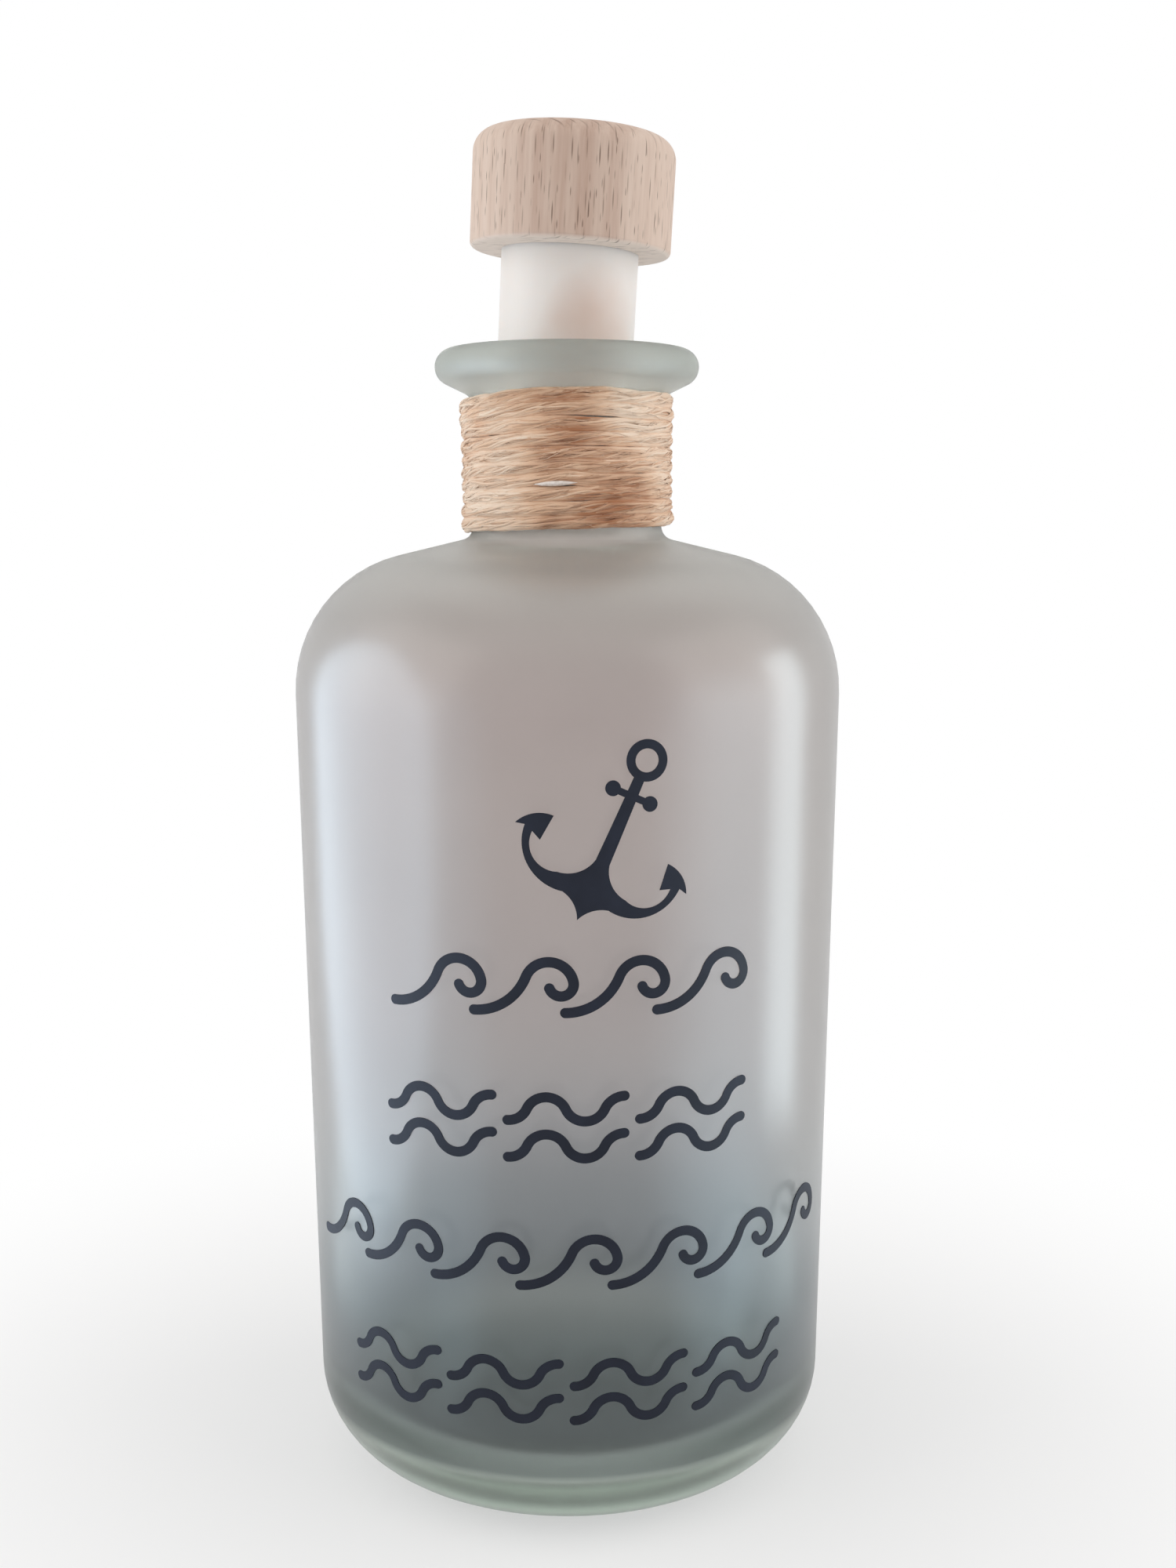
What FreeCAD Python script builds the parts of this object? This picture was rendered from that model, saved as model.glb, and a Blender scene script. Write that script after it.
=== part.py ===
import FreeCAD, Part
import math
import os

import Sketcher
from FreeCAD import Placement, Rotation, Vector

# A frosted glass bottle with a beech-headed stopper, a neck wound with twine, and dark transfers on
# its wall: an anchor above four rows of hand-drawn waves.
# Millimetres, +Z up. The origin is the middle of the base, on the table. The decorated front faces -Y.

# Driving sizes. Lengths are in millimetres and angles in degrees.
SIZES = {
    # Glass bottle
    "body_diameter": 80.0,
    "wall_height": 120.4,
    "heel_radius": 15.1,
    "foot_ring_width": 5.0,
    "punt_depth": 2.4,
    "shoulder_radius": 20.1,
    "shoulder_slope": 13.2,
    "neck_height": 24.0,
    "neck_wall": 3.4,
    "neck_foot_radius": 2.0,
    "lip_overhang": 5.1,
    "lip_edge_radius": 2.4,
    "lip_underside_slope": 25.0,
    "mouth_diameter": 20.5,
    "mouth_edge_radius": 0.9,
    "wall_thickness": 3.8,
    "base_thickness": 8.0,
    "inner_heel_radius": 11.0,
    # Twine winding
    "twine_diameter": 1.26,
    "twine_gap": 0.46,
    "twine_seat_gap": 0.2,
    # Stopper
    "head_diameter": 28.1,
    "head_height": 15.0,
    "head_top_round": 2.8,
    "head_foot_round": 0.7,
    "socket_diameter": 12.0,
    "socket_depth": 6.0,
    "glue_gap": 0.1,
    "plug_clearance": 0.65,
    "plug_length": 20.5,
    "tip_length": 7.0,
    "tip_inset": 0.6,
    "tip_round": 0.8,
    "stopper_raise": 12.8,
    "stopper_lean": 3.0,
    "lean_crossing": 3.4,
    # Transfers
    "film_thickness": 0.12,
    "anchor_cut_depth": 3.5,
    "stroke_cut_depth": 1.8,
    "stroke_width": 1.4,
    "last_row_rise": 10.9,
    # Anchor, measured from its lowest point and from the middle of its shank
    "anchor_drop": 15.8,
    "anchor_bearing": 8.9,
    "anchor_tilt": 23.9,
    "anchor_pivot_rise": 11.5,
    "anchor_ring_diameter": 5.5,
    "anchor_eye_diameter": 3.1,
    "anchor_ring_rise": 22.7,
    "anchor_stock_rise": 17.7,
    "anchor_stock_thickness": 0.95,
    "anchor_knob_diameter": 2.05,
    "anchor_knob_reach": 2.7,
    # Curling waves, rows one and three
    "wave_back_radius": 7.8,
    "wave_back_sweep": 68.0,
    "wave_crest_radius": 3.3,
    "wave_crest_sweep": 148.0,
    "wave_curl_radius": 1.65,
    "wave_curl_sweep": 170.0,
    "wave_foot_drop": 3.5,
    # Rippled waves, rows two and four
    "ripple_radius": 2.9,
    "ripple_sweep": 132.0,
    "ripple_spacing": 5.3,
    # Rows of waves: strokes in the row, and the way from one to the next along the wall
    "first_row_count": 4,
    "first_row_pitch": 12.5,
    "second_row_count": 3,
    "second_row_pitch": 18.2,
    "third_row_count": 7,
    "third_row_pitch": 12.9,
    "fourth_row_count": 4,
    "fourth_row_pitch": 18.2,
}

# Corners of one half of the anchor's shank, arm and fluke: distance from the shank's middle, height
# above the lowest point, and the radius of the edge that arrives there. The radius is positive where
# that edge bulges out, negative where it is hollow and zero where it is straight.
ANCHOR_CORNERS = {
    "crown": (3.3, 2.75, -4.5),
    "arm": (11.2, 8.9, 6.65),
    "barb": (12.4, 8.6, 0.0),
    "tip": (8.3, 11.4, 4.5),
    "inner_barb": (8.65, 7.8, 0.0),
    "notch": (10.0, 8.45, 0.0),
    "bay": (4.9, 4.85, -3.7),
    "foot": (0.98, 8.3, -4.5),
    "head": (0.72, 20.6, 0.0),
}

ROW_NAMES = ("first", "second", "third", "fourth")
CURLING_ROWS = ("first", "third")

# Ends of a sketched edge, and a sketch's own axes and origin, as the constraints count them
START, END, CENTRE = range(1, 4)
HORIZONTAL_AXIS, VERTICAL_AXIS = range(-1, -3, -1)
ORIGIN = (HORIZONTAL_AXIS, START)

# How near a circle must come to the height and radius that are looked for
MATCH = 1e-6

doc = FreeCAD.newDocument("bottle")


def make_sheet():
    """Write the driving sizes into the document's sheet, one named cell each."""
    cells = dict(SIZES)
    for name, (reach, rise, radius) in ANCHOR_CORNERS.items():
        cells[f"anchor_{name}_reach"] = reach
        cells[f"anchor_{name}_rise"] = rise
        if radius:
            cells[f"anchor_{name}_radius"] = abs(radius)
    table = doc.addObject("Spreadsheet::Sheet", "Sizes")
    for row, (alias, value) in enumerate(cells.items(), start=1):
        table.set(f"A{row}", alias)
        table.set(f"B{row}", str(value))
        table.setAlias(f"B{row}", alias)
    doc.recompute()
    return table


sheet = make_sheet()


def size(alias):
    """Return one driving size from the sheet."""
    return float(sheet.get(alias))


def direction(degrees):
    """Return the unit vector at an angle in a sketch."""
    angle = math.radians(degrees)
    return Vector(math.cos(angle), math.sin(angle), 0)


def line(start, end):
    """Return a sketch line between two points."""
    return Part.LineSegment(start, end)


def arc(centre, radius, first, last):
    """Return a sketch arc that runs anticlockwise between two angles in degrees."""
    circle = Part.Circle(centre, Vector(0, 0, 1), radius)
    return Part.ArcOfCircle(circle, math.radians(first), math.radians(last))


def new_body(name):
    """Return an empty body that may hold separate solids."""
    body = doc.addObject("PartDesign::Body", name)
    body.AllowCompound = True
    return body


def origin_feature(body, role):
    """Return one plane or axis of a body's own origin."""
    return next(item for item in body.Origin.OriginFeatures if item.Role == role)


def new_sketch(body, name, role):
    """Return an empty sketch on one of the body's origin planes."""
    sketch = body.newObject("Sketcher::SketchObject", name)
    sketch.AttachmentSupport = [(origin_feature(body, role), "")]
    sketch.MapMode = "FlatFace"
    return sketch


def constrain(sketch, kind, *where):
    """Add a constraint without a value."""
    sketch.addConstraint(Sketcher.Constraint(kind, *where))


def present_value(sketch, kind, where):
    """Return what a dimension measures on the geometry as it is drawn."""
    edge = sketch.Geometry[where[0]]
    if kind == "Radius":
        return edge.Radius
    if kind == "Angle" and isinstance(edge, Part.ArcOfCircle):
        return edge.LastParameter - edge.FirstParameter
    if kind == "Angle":
        run = edge.EndPoint - edge.StartPoint
        return math.atan2(run.y, run.x)
    points = [sketch.getPoint(where[index], where[index + 1]) for index in (0, 2)]
    run = points[1] - points[0]
    return run.x if kind == "DistanceX" else run.y


def dimension(sketch, name, expression, kind, *where):
    """Add a named dimension and tie it to an expression of the sheet's sizes."""
    value = present_value(sketch, kind, where)
    index = sketch.addConstraint(Sketcher.Constraint(kind, *where, value))
    sketch.renameConstraint(index, name)
    sketch.setExpression(f"Constraints.{name}", expression)


def place_point(sketch, name, edge, end, across, up):
    """Dimension a point's distances from the sketch's origin."""
    dimension(sketch, f"{name}_across", across, "DistanceX", *ORIGIN, edge, end)
    dimension(sketch, f"{name}_up", up, "DistanceY", *ORIGIN, edge, end)


def add_pad(body, sketch, name, length, reversed_way):
    """Pad a sketch by a length that is an expression of the sheet's sizes."""
    pad = body.newObject("PartDesign::Pad", name)
    pad.Profile = sketch
    pad.Reversed = reversed_way
    pad.setExpression("Length", length)
    return pad


def add_revolution(body, sketch, name):
    """Turn a sketch once round the body's vertical axis."""
    turned = body.newObject("PartDesign::Revolution", name)
    turned.Profile = sketch
    turned.ReferenceAxis = (sketch, ["V_Axis"])
    turned.Angle = 360
    return turned


def add_fillet(body, base, name, radius, height, edge_radius):
    """Round the one circular edge of a feature that has a given height and radius."""
    doc.recompute()
    found = []
    for index, edge in enumerate(base.Shape.Edges, start=1):
        curve = edge.Curve
        if not isinstance(curve, Part.Circle):
            continue
        if abs(curve.Center.z - height) < MATCH and abs(curve.Radius - edge_radius) < MATCH:
            found.append(f"Edge{index}")
    fillet = body.newObject("PartDesign::Fillet", name)
    fillet.Base = (base, found)
    fillet.setExpression("Radius", radius)
    return fillet


def neck_radius():
    """Return the outer radius of the glass neck."""
    return size("mouth_diameter") / 2 + size("neck_wall")


def neck_foot_height():
    """Return the height where the neck's straight wall starts, above the rounding at its foot."""
    slope = math.radians(size("shoulder_slope"))
    shoulder = size("shoulder_radius")
    foot = size("neck_foot_radius")
    slope_start = size("body_diameter") / 2 - shoulder + shoulder * math.sin(slope)
    run = slope_start - neck_radius() - foot
    rise = shoulder * math.cos(slope) + run * math.tan(slope) + foot / math.cos(slope)
    return size("wall_height") + rise


def rim_height():
    """Return the height of the bottle's rim above the table."""
    return neck_foot_height() + size("neck_height")


def lip_underside_height(radius):
    """Return the height of the lip's sloping underside at a radius from the axis."""
    slope = math.radians(size("lip_underside_slope"))
    edge = size("lip_edge_radius")
    start_radius = neck_radius() + size("lip_overhang") - edge + edge * math.sin(slope)
    start_height = rim_height() - edge - edge * math.cos(slope)
    return start_height - (start_radius - radius) * math.tan(slope)


def draw_glass_section(sketch):
    """Draw the section of the glass to the right of its axis, from the punt round to the floor."""
    wall = size("body_diameter") / 2
    glass = size("wall_thickness")
    top = size("wall_height")
    heel = size("heel_radius")
    slope = size("shoulder_slope")
    shoulder = size("shoulder_radius")
    foot = size("neck_foot_radius")
    neck = neck_radius()
    neck_foot = neck_foot_height()
    edge = size("lip_edge_radius")
    under = size("lip_underside_slope")
    rim = rim_height()
    bore = size("mouth_diameter") / 2
    mouth = size("mouth_edge_radius")
    floor = size("base_thickness")
    inner_heel = size("inner_heel_radius")
    punt = size("punt_depth")
    ring = wall - heel - size("foot_ring_width")

    dome = (ring ** 2 + punt ** 2) / (2 * punt)
    dome_end = math.degrees(math.asin((dome - punt) / dome))
    shoulder_centre = Vector(wall - shoulder, top, 0)
    foot_centre = Vector(neck + foot, neck_foot, 0)
    lip_centre = Vector(neck + size("lip_overhang") - edge, rim - edge, 0)
    mouth_centre = Vector(bore + mouth, rim - mouth, 0)
    inner_foot = foot + glass
    slope_angle = 90 - slope
    inner_slope_start = shoulder_centre + direction(slope_angle) * (shoulder - glass)
    inner_foot_run = inner_slope_start.x - bore - inner_foot
    inner_foot_rise = inner_foot_run * math.tan(math.radians(slope))
    inner_foot_rise += inner_foot / math.cos(math.radians(slope))
    inner_foot_centre = Vector(bore + inner_foot, inner_slope_start.y + inner_foot_rise, 0)
    inner_heel_centre = Vector(wall - glass - inner_heel, floor + inner_heel, 0)
    slope_end = foot_centre + direction(270 - slope) * foot
    inner_slope_end = inner_foot_centre + direction(270 - slope) * inner_foot
    under_start = Vector(neck, lip_underside_height(neck), 0)
    under_end = lip_centre + direction(under - 90) * edge

    sketch.addGeometry([
        arc(Vector(0, punt - dome, 0), dome, dome_end, 90),
        line(Vector(ring, 0, 0), Vector(wall - heel, 0, 0)),
        arc(Vector(wall - heel, heel, 0), heel, -90, 0),
        line(Vector(wall, heel, 0), Vector(wall, top, 0)),
        arc(shoulder_centre, shoulder, 0, slope_angle),
        line(shoulder_centre + direction(slope_angle) * shoulder, slope_end),
        arc(foot_centre, foot, 180, 270 - slope),
        line(Vector(neck, neck_foot, 0), under_start),
        line(under_start, under_end),
        arc(lip_centre, edge, under - 90, 90),
        line(Vector(lip_centre.x, rim, 0), Vector(mouth_centre.x, rim, 0)),
        arc(mouth_centre, mouth, 90, 180),
        line(Vector(bore, mouth_centre.y, 0), Vector(bore, inner_foot_centre.y, 0)),
        arc(inner_foot_centre, inner_foot, 180, 270 - slope),
        line(inner_slope_end, inner_slope_start),
        arc(shoulder_centre, shoulder - glass, 0, slope_angle),
        line(Vector(wall - glass, top, 0), Vector(wall - glass, inner_heel_centre.y, 0)),
        arc(inner_heel_centre, inner_heel, -90, 0),
        line(Vector(inner_heel_centre.x, floor, 0), Vector(0, floor, 0)),
        line(Vector(0, floor, 0), Vector(0, punt, 0)),
    ], False)


def constrain_glass_section(sketch):
    """Join the section's edges and tie its dimensions to the sheet."""
    edges = range(20)
    (punt, ring, heel, wall, shoulder, slope, foot, neck, under, lip,
     rim, mouth, bore, inner_foot, inner_slope, inner_shoulder, inner_wall, inner_heel, floor, axis) = edges
    smooth_joints = [
        (ring, END, heel, START), (heel, END, wall, START), (wall, END, shoulder, START),
        (shoulder, END, slope, START), (slope, END, foot, END), (foot, START, neck, START),
        (under, END, lip, START), (lip, END, rim, START), (rim, END, mouth, START),
        (mouth, END, bore, START), (bore, END, inner_foot, START), (inner_foot, END, inner_slope, START),
        (inner_slope, END, inner_shoulder, END), (inner_shoulder, START, inner_wall, START),
        (inner_wall, END, inner_heel, END), (inner_heel, START, floor, START),
    ]
    for joint in smooth_joints:
        constrain(sketch, "Tangent", *joint)
    corners = [
        (punt, START, ring, START), (neck, END, under, START),
        (floor, END, axis, START), (axis, END, punt, END),
    ]
    for corner in corners:
        constrain(sketch, "Coincident", *corner)
    for level in (ring, rim, floor):
        constrain(sketch, "Horizontal", level)
    for upright in (wall, neck, bore, inner_wall, axis):
        constrain(sketch, "Vertical", upright)
    constrain(sketch, "PointOnObject", ring, START, HORIZONTAL_AXIS)
    constrain(sketch, "PointOnObject", axis, START, VERTICAL_AXIS)
    constrain(sketch, "PointOnObject", punt, CENTRE, VERTICAL_AXIS)
    constrain(sketch, "Coincident", inner_shoulder, CENTRE, shoulder, CENTRE)
    constrain(sketch, "Parallel", inner_slope, slope)

    body_radius = "Sizes.body_diameter / 2"
    neck_x = "Sizes.mouth_diameter / 2 + Sizes.neck_wall"
    ring_x = f"{body_radius} - Sizes.heel_radius - Sizes.foot_ring_width"
    lip_x = f"{neck_x} + Sizes.lip_overhang - Sizes.lip_edge_radius"
    dimension(sketch, "punt_depth", "Sizes.punt_depth", "DistanceY", *ORIGIN, punt, END)
    dimension(sketch, "ring_radius", ring_x, "DistanceX", *ORIGIN, ring, START)
    dimension(sketch, "heel_radius", "Sizes.heel_radius", "Radius", heel)
    dimension(sketch, "body_radius", body_radius, "DistanceX", *ORIGIN, wall, START)
    dimension(sketch, "wall_height", "Sizes.wall_height", "DistanceY", *ORIGIN, wall, END)
    dimension(sketch, "shoulder_radius", "Sizes.shoulder_radius", "Radius", shoulder)
    dimension(sketch, "shoulder_slope", "180 - Sizes.shoulder_slope", "Angle", slope)
    dimension(sketch, "neck_foot_radius", "Sizes.neck_foot_radius", "Radius", foot)
    dimension(sketch, "neck_radius", neck_x, "DistanceX", *ORIGIN, neck, START)
    dimension(sketch, "neck_height", "Sizes.neck_height", "DistanceY", neck, START, rim, START)
    dimension(sketch, "lip_edge_radius", "Sizes.lip_edge_radius", "Radius", lip)
    dimension(sketch, "lip_centre", lip_x, "DistanceX", *ORIGIN, lip, CENTRE)
    dimension(sketch, "lip_underside", "Sizes.lip_underside_slope", "Angle", under)
    dimension(sketch, "mouth_edge_radius", "Sizes.mouth_edge_radius", "Radius", mouth)
    dimension(sketch, "mouth_radius", "Sizes.mouth_diameter / 2", "DistanceX", *ORIGIN, bore, START)
    dimension(sketch, "inner_foot", "Sizes.neck_foot_radius + Sizes.wall_thickness", "Radius", inner_foot)
    inner_radius = "Sizes.shoulder_radius - Sizes.wall_thickness"
    dimension(sketch, "inner_shoulder", inner_radius, "Radius", inner_shoulder)
    dimension(sketch, "inner_heel", "Sizes.inner_heel_radius", "Radius", inner_heel)
    dimension(sketch, "base_thickness", "Sizes.base_thickness", "DistanceY", *ORIGIN, floor, START)
    # The rim's height follows from the rest. It is only measured, for what stands on the rim.
    measure = Sketcher.Constraint("DistanceY", *ORIGIN, rim, START, rim_height())
    index = sketch.addConstraint(measure)
    sketch.setDriving(index, False)
    sketch.renameConstraint(index, "rim_height")


def make_glass_bottle():
    """Turn the hollow glass bottle from one section."""
    body = new_body("GlassBody")
    sketch = new_sketch(body, "GlassSection", "XZ_Plane")
    draw_glass_section(sketch)
    constrain_glass_section(sketch)
    add_revolution(body, sketch, "GlassTurned")
    body.Label = "glass_bottle"
    return body


def biarc(start, start_way, end, end_way):
    """Return the two tangent arcs that join two points and leave along their two directions."""
    chord = end - start
    ways = start_way + end_way
    square = ways.dot(ways) - 4
    linear = chord.dot(ways)
    reach = (linear - math.sqrt(linear ** 2 - square * chord.dot(chord))) / square
    corners = (start + start_way * reach, end - end_way * reach)
    joint = (corners[0] + corners[1]) / 2
    edges = []
    for near, corner, far in ((start, corners[0], joint), (joint, corners[1], end)):
        middle = (near + far) / 2
        half_turn = math.acos((far - near).Length / 2 / (corner - near).Length)
        bulge = math.tan(half_turn / 2) / math.tan(half_turn)
        edges.append(Part.Arc(near, middle + (corner - middle) * bulge, far).toShape())
    return edges


def winding_path(radius, pitch, turns, start_height, end_run):
    """Return the centre line of a winding that starts and ends behind the neck, in quarter turns."""
    climb = pitch / (2 * math.pi)

    def point(angle):
        height = start_height + climb * (angle - math.pi / 2)
        return Vector(radius * math.cos(angle), radius * math.sin(angle), height)

    def way(angle):
        return Vector(-radius * math.sin(angle), radius * math.cos(angle), climb).normalize()

    angles = [math.pi / 2 * quarter for quarter in range(1, 4 * turns + 2)]
    first, last = angles[0], angles[-1]
    edges = [Part.LineSegment(point(first) - way(first) * end_run, point(first)).toShape()]
    for near, far in zip(angles, angles[1:]):
        edges.extend(biarc(point(near), way(near), point(far), way(far)))
    edges.append(Part.LineSegment(point(last), point(last) + way(last) * end_run).toShape())
    return Part.Wire(edges)


def least_gap(path, thickness, turn_length):
    """Return the least clear gap between points of a winding that lie half a turn to two turns apart."""
    spacing = thickness / 2
    half_turn = int(turn_length / 2 / spacing)
    points = path.discretize(Distance=spacing)
    closest = min(
        point.distanceToPoint(other)
        for index, point in enumerate(points)
        for other in points[index + half_turn:index + 4 * half_turn]
    )
    return closest - thickness


def make_twine_winding():
    """Wind one unbroken cord round the neck, between its foot and the lip."""
    thickness = size("twine_diameter")
    pitch = thickness + size("twine_gap")
    radius = neck_radius() + size("twine_seat_gap") + thickness / 2
    start_height = neck_foot_height()
    under = math.cos(math.radians(size("lip_underside_slope")))
    headroom = (thickness / 2 + size("twine_seat_gap") / 2) / under
    turns = int((lip_underside_height(radius) - headroom - start_height) / pitch)
    path = winding_path(radius, pitch, turns, start_height, thickness)
    start = path.OrderedVertexes[0].Point
    way = path.OrderedEdges[0].tangentAt(path.OrderedEdges[0].FirstParameter)
    section = Part.Wire([Part.makeCircle(thickness / 2, start, way)])
    cord = doc.addObject("Part::Feature", "TwineWinding")
    cord.Shape = path.makePipeShell([section], True, False)
    cord.Label = "twine_winding"
    swept = math.pi * (thickness / 2) ** 2 * path.Length
    gap = least_gap(path, thickness, 2 * math.pi * radius)
    print(f"twine: {turns} turns, {path.Length:.0f} mm long, least gap to itself {gap:.2f} mm")
    print(f"twine volume {cord.Shape.Volume:.1f}, section times length {swept:.1f} mm3")
    return cord


def stand_in_mouth(body):
    """Place a piece of the stopper where it stands raised and leaning in the mouth."""
    body.Placement = Placement(Vector(0, 0, rim_height()), Rotation(Vector(0, 1, 0), size("stopper_lean")))
    shift = "(Sizes.stopper_raise - Sizes.lean_crossing) * tan(Sizes.stopper_lean)"
    body.setExpression("Placement.Base.x", shift)
    raised = "GlassSection.Constraints.rim_height + Sizes.stopper_raise * 1 mm"
    body.setExpression("Placement.Base.z", raised)
    body.setExpression("Placement.Rotation.Angle", "Sizes.stopper_lean")


def add_circle(sketch, name, diameter, radius):
    """Draw a circle round the sketch's origin and tie its diameter to an expression."""
    index = sketch.addGeometry(Part.Circle(Vector(0, 0, 0), Vector(0, 0, 1), radius), False)
    constrain(sketch, "Coincident", index, CENTRE, *ORIGIN)
    dimension(sketch, name, f"({diameter}) / 2", "Radius", index)


def make_stopper_head():
    """Turn the beech head, with the blind socket that the plug is glued into."""
    body = new_body("HeadBody")
    outline = new_sketch(body, "HeadOutline", "XY_Plane")
    radius = size("head_diameter") / 2
    add_circle(outline, "head_radius", "Sizes.head_diameter", radius)
    block = add_pad(body, outline, "HeadBlock", "Sizes.head_height", False)
    top = add_fillet(body, block, "HeadTopRound", "Sizes.head_top_round", size("head_height"), radius)
    foot = add_fillet(body, top, "HeadFootRound", "Sizes.head_foot_round", 0, radius)
    doc.recompute()
    whole = foot.Shape.Volume
    socket_outline = new_sketch(body, "SocketOutline", "XY_Plane")
    add_circle(socket_outline, "socket_radius", "Sizes.socket_diameter", size("socket_diameter") / 2)
    socket = body.newObject("PartDesign::Pocket", "Socket")
    socket.Profile = socket_outline
    socket.Reversed = True
    socket.setExpression("Length", "Sizes.socket_depth")
    stand_in_mouth(body)
    body.Label = "stopper_head"
    doc.recompute()
    cut = whole - body.Shape.Volume
    print(f"socket removes {cut:.0f} mm3 of {whole:.0f} mm3 of wood")
    return body


def make_stopper_plug():
    """Turn the plug: a spigot for the head's socket, a straight shank and a tapered, rounded tip."""
    body = new_body("PlugBody")
    sketch = new_sketch(body, "PlugSection", "XZ_Plane")
    radius = size("mouth_diameter") / 2 - size("plug_clearance")
    spigot = size("socket_diameter") / 2 - size("glue_gap")
    spigot_top = size("socket_depth") - size("glue_gap")
    length = size("plug_length")
    taper_start = length - size("tip_length")
    tip = radius - size("tip_inset")
    corners = [
        Vector(0, -length, 0), Vector(tip, -length, 0), Vector(radius, -taper_start, 0),
        Vector(radius, 0, 0), Vector(spigot, 0, 0), Vector(spigot, spigot_top, 0), Vector(0, spigot_top, 0),
    ]
    sketch.addGeometry([line(a, b) for a, b in zip(corners, corners[1:] + corners[:1])], False)
    count = len(corners)
    for index in range(count):
        constrain(sketch, "Coincident", index, END, (index + 1) % count, START)
    tip_face, _, shank, shoulder, spigot_wall, spigot_face, axis = range(count)
    for level in (tip_face, shoulder, spigot_face):
        constrain(sketch, "Horizontal", level)
    for upright in (shank, spigot_wall, axis):
        constrain(sketch, "Vertical", upright)
    constrain(sketch, "PointOnObject", axis, END, VERTICAL_AXIS)
    constrain(sketch, "PointOnObject", shoulder, START, HORIZONTAL_AXIS)
    plug_radius = "Sizes.mouth_diameter / 2 - Sizes.plug_clearance"
    dimension(sketch, "plug_radius", plug_radius, "DistanceX", *ORIGIN, shank, START)
    dimension(sketch, "tip_radius", f"{plug_radius} - Sizes.tip_inset", "DistanceX", *ORIGIN, tip_face, END)
    dimension(sketch, "plug_length", "Sizes.plug_length", "DistanceY", tip_face, END, *ORIGIN)
    dimension(sketch, "tip_length", "Sizes.tip_length", "DistanceY", tip_face, END, shank, START)
    spigot_radius = "Sizes.socket_diameter / 2 - Sizes.glue_gap"
    dimension(sketch, "spigot_radius", spigot_radius, "DistanceX", *ORIGIN, spigot_wall, START)
    spigot_length = "Sizes.socket_depth - Sizes.glue_gap"
    dimension(sketch, "spigot_length", spigot_length, "DistanceY", *ORIGIN, spigot_wall, END)
    turned = add_revolution(body, sketch, "PlugTurned")
    add_fillet(body, turned, "TipRound", "Sizes.tip_round", -length, tip)
    stand_in_mouth(body)
    body.Label = "stopper_plug"
    return body


def make_film_shell():
    """Return the thin shell just outside the bottle's straight wall that every transfer is cut from."""
    outer = doc.addObject("Part::Cylinder", "FilmOutside")
    outer.setExpression("Radius", "Sizes.body_diameter / 2 + Sizes.film_thickness")
    inner = doc.addObject("Part::Cylinder", "FilmInside")
    inner.setExpression("Radius", "Sizes.body_diameter / 2")
    for cylinder in (outer, inner):
        cylinder.setExpression("Height", "Sizes.wall_height - Sizes.heel_radius")
        cylinder.setExpression("Placement.Base.z", "Sizes.heel_radius")
    shell = doc.addObject("Part::Cut", "FilmShell")
    shell.Base = outer
    shell.Tool = inner
    return shell


def front_sketch(body, name):
    """Return a sketch that stands upright just in front of the wall and faces along -Y."""
    sketch = new_sketch(body, name, "XZ_Plane")
    sketch.setExpression("AttachmentOffset.Base.z", "Sizes.body_diameter / 2 + Sizes.film_thickness")
    return sketch


def pad_into_wall(body, sketch, name, depth):
    """Pad a sketch from in front of the film into the wall, deep enough for the film's bend."""
    return add_pad(body, sketch, name, f"Sizes.film_thickness + Sizes.{depth}", True)


def cut_from_film(body, shell, label):
    """Return the part of the film shell that lies inside a body's outline."""
    transfer = doc.addObject("Part::Common", f"Film{body.Name}")
    transfer.Base = body
    transfer.Tool = shell
    transfer.Label = label
    return transfer


def bulging_arc(start, end, radius):
    """Return the arc between two points that bulges right of the way, or left if radius is negative."""
    chord = end - start
    across = Vector(chord.y, -chord.x, 0).normalize()
    offset = math.sqrt(radius ** 2 - chord.Length ** 2 / 4)
    side = 1 if radius > 0 else -1
    centre = (start + end) / 2 - across * offset * side
    from_start, from_end = (start - centre, end - centre)
    first = math.degrees(math.atan2(from_start.y, from_start.x))
    last = math.degrees(math.atan2(from_end.y, from_end.x))
    if side > 0:
        return arc(centre, abs(radius), first, last if last > first else last + 360)
    return arc(centre, abs(radius), last, first if first > last else first + 360)


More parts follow.
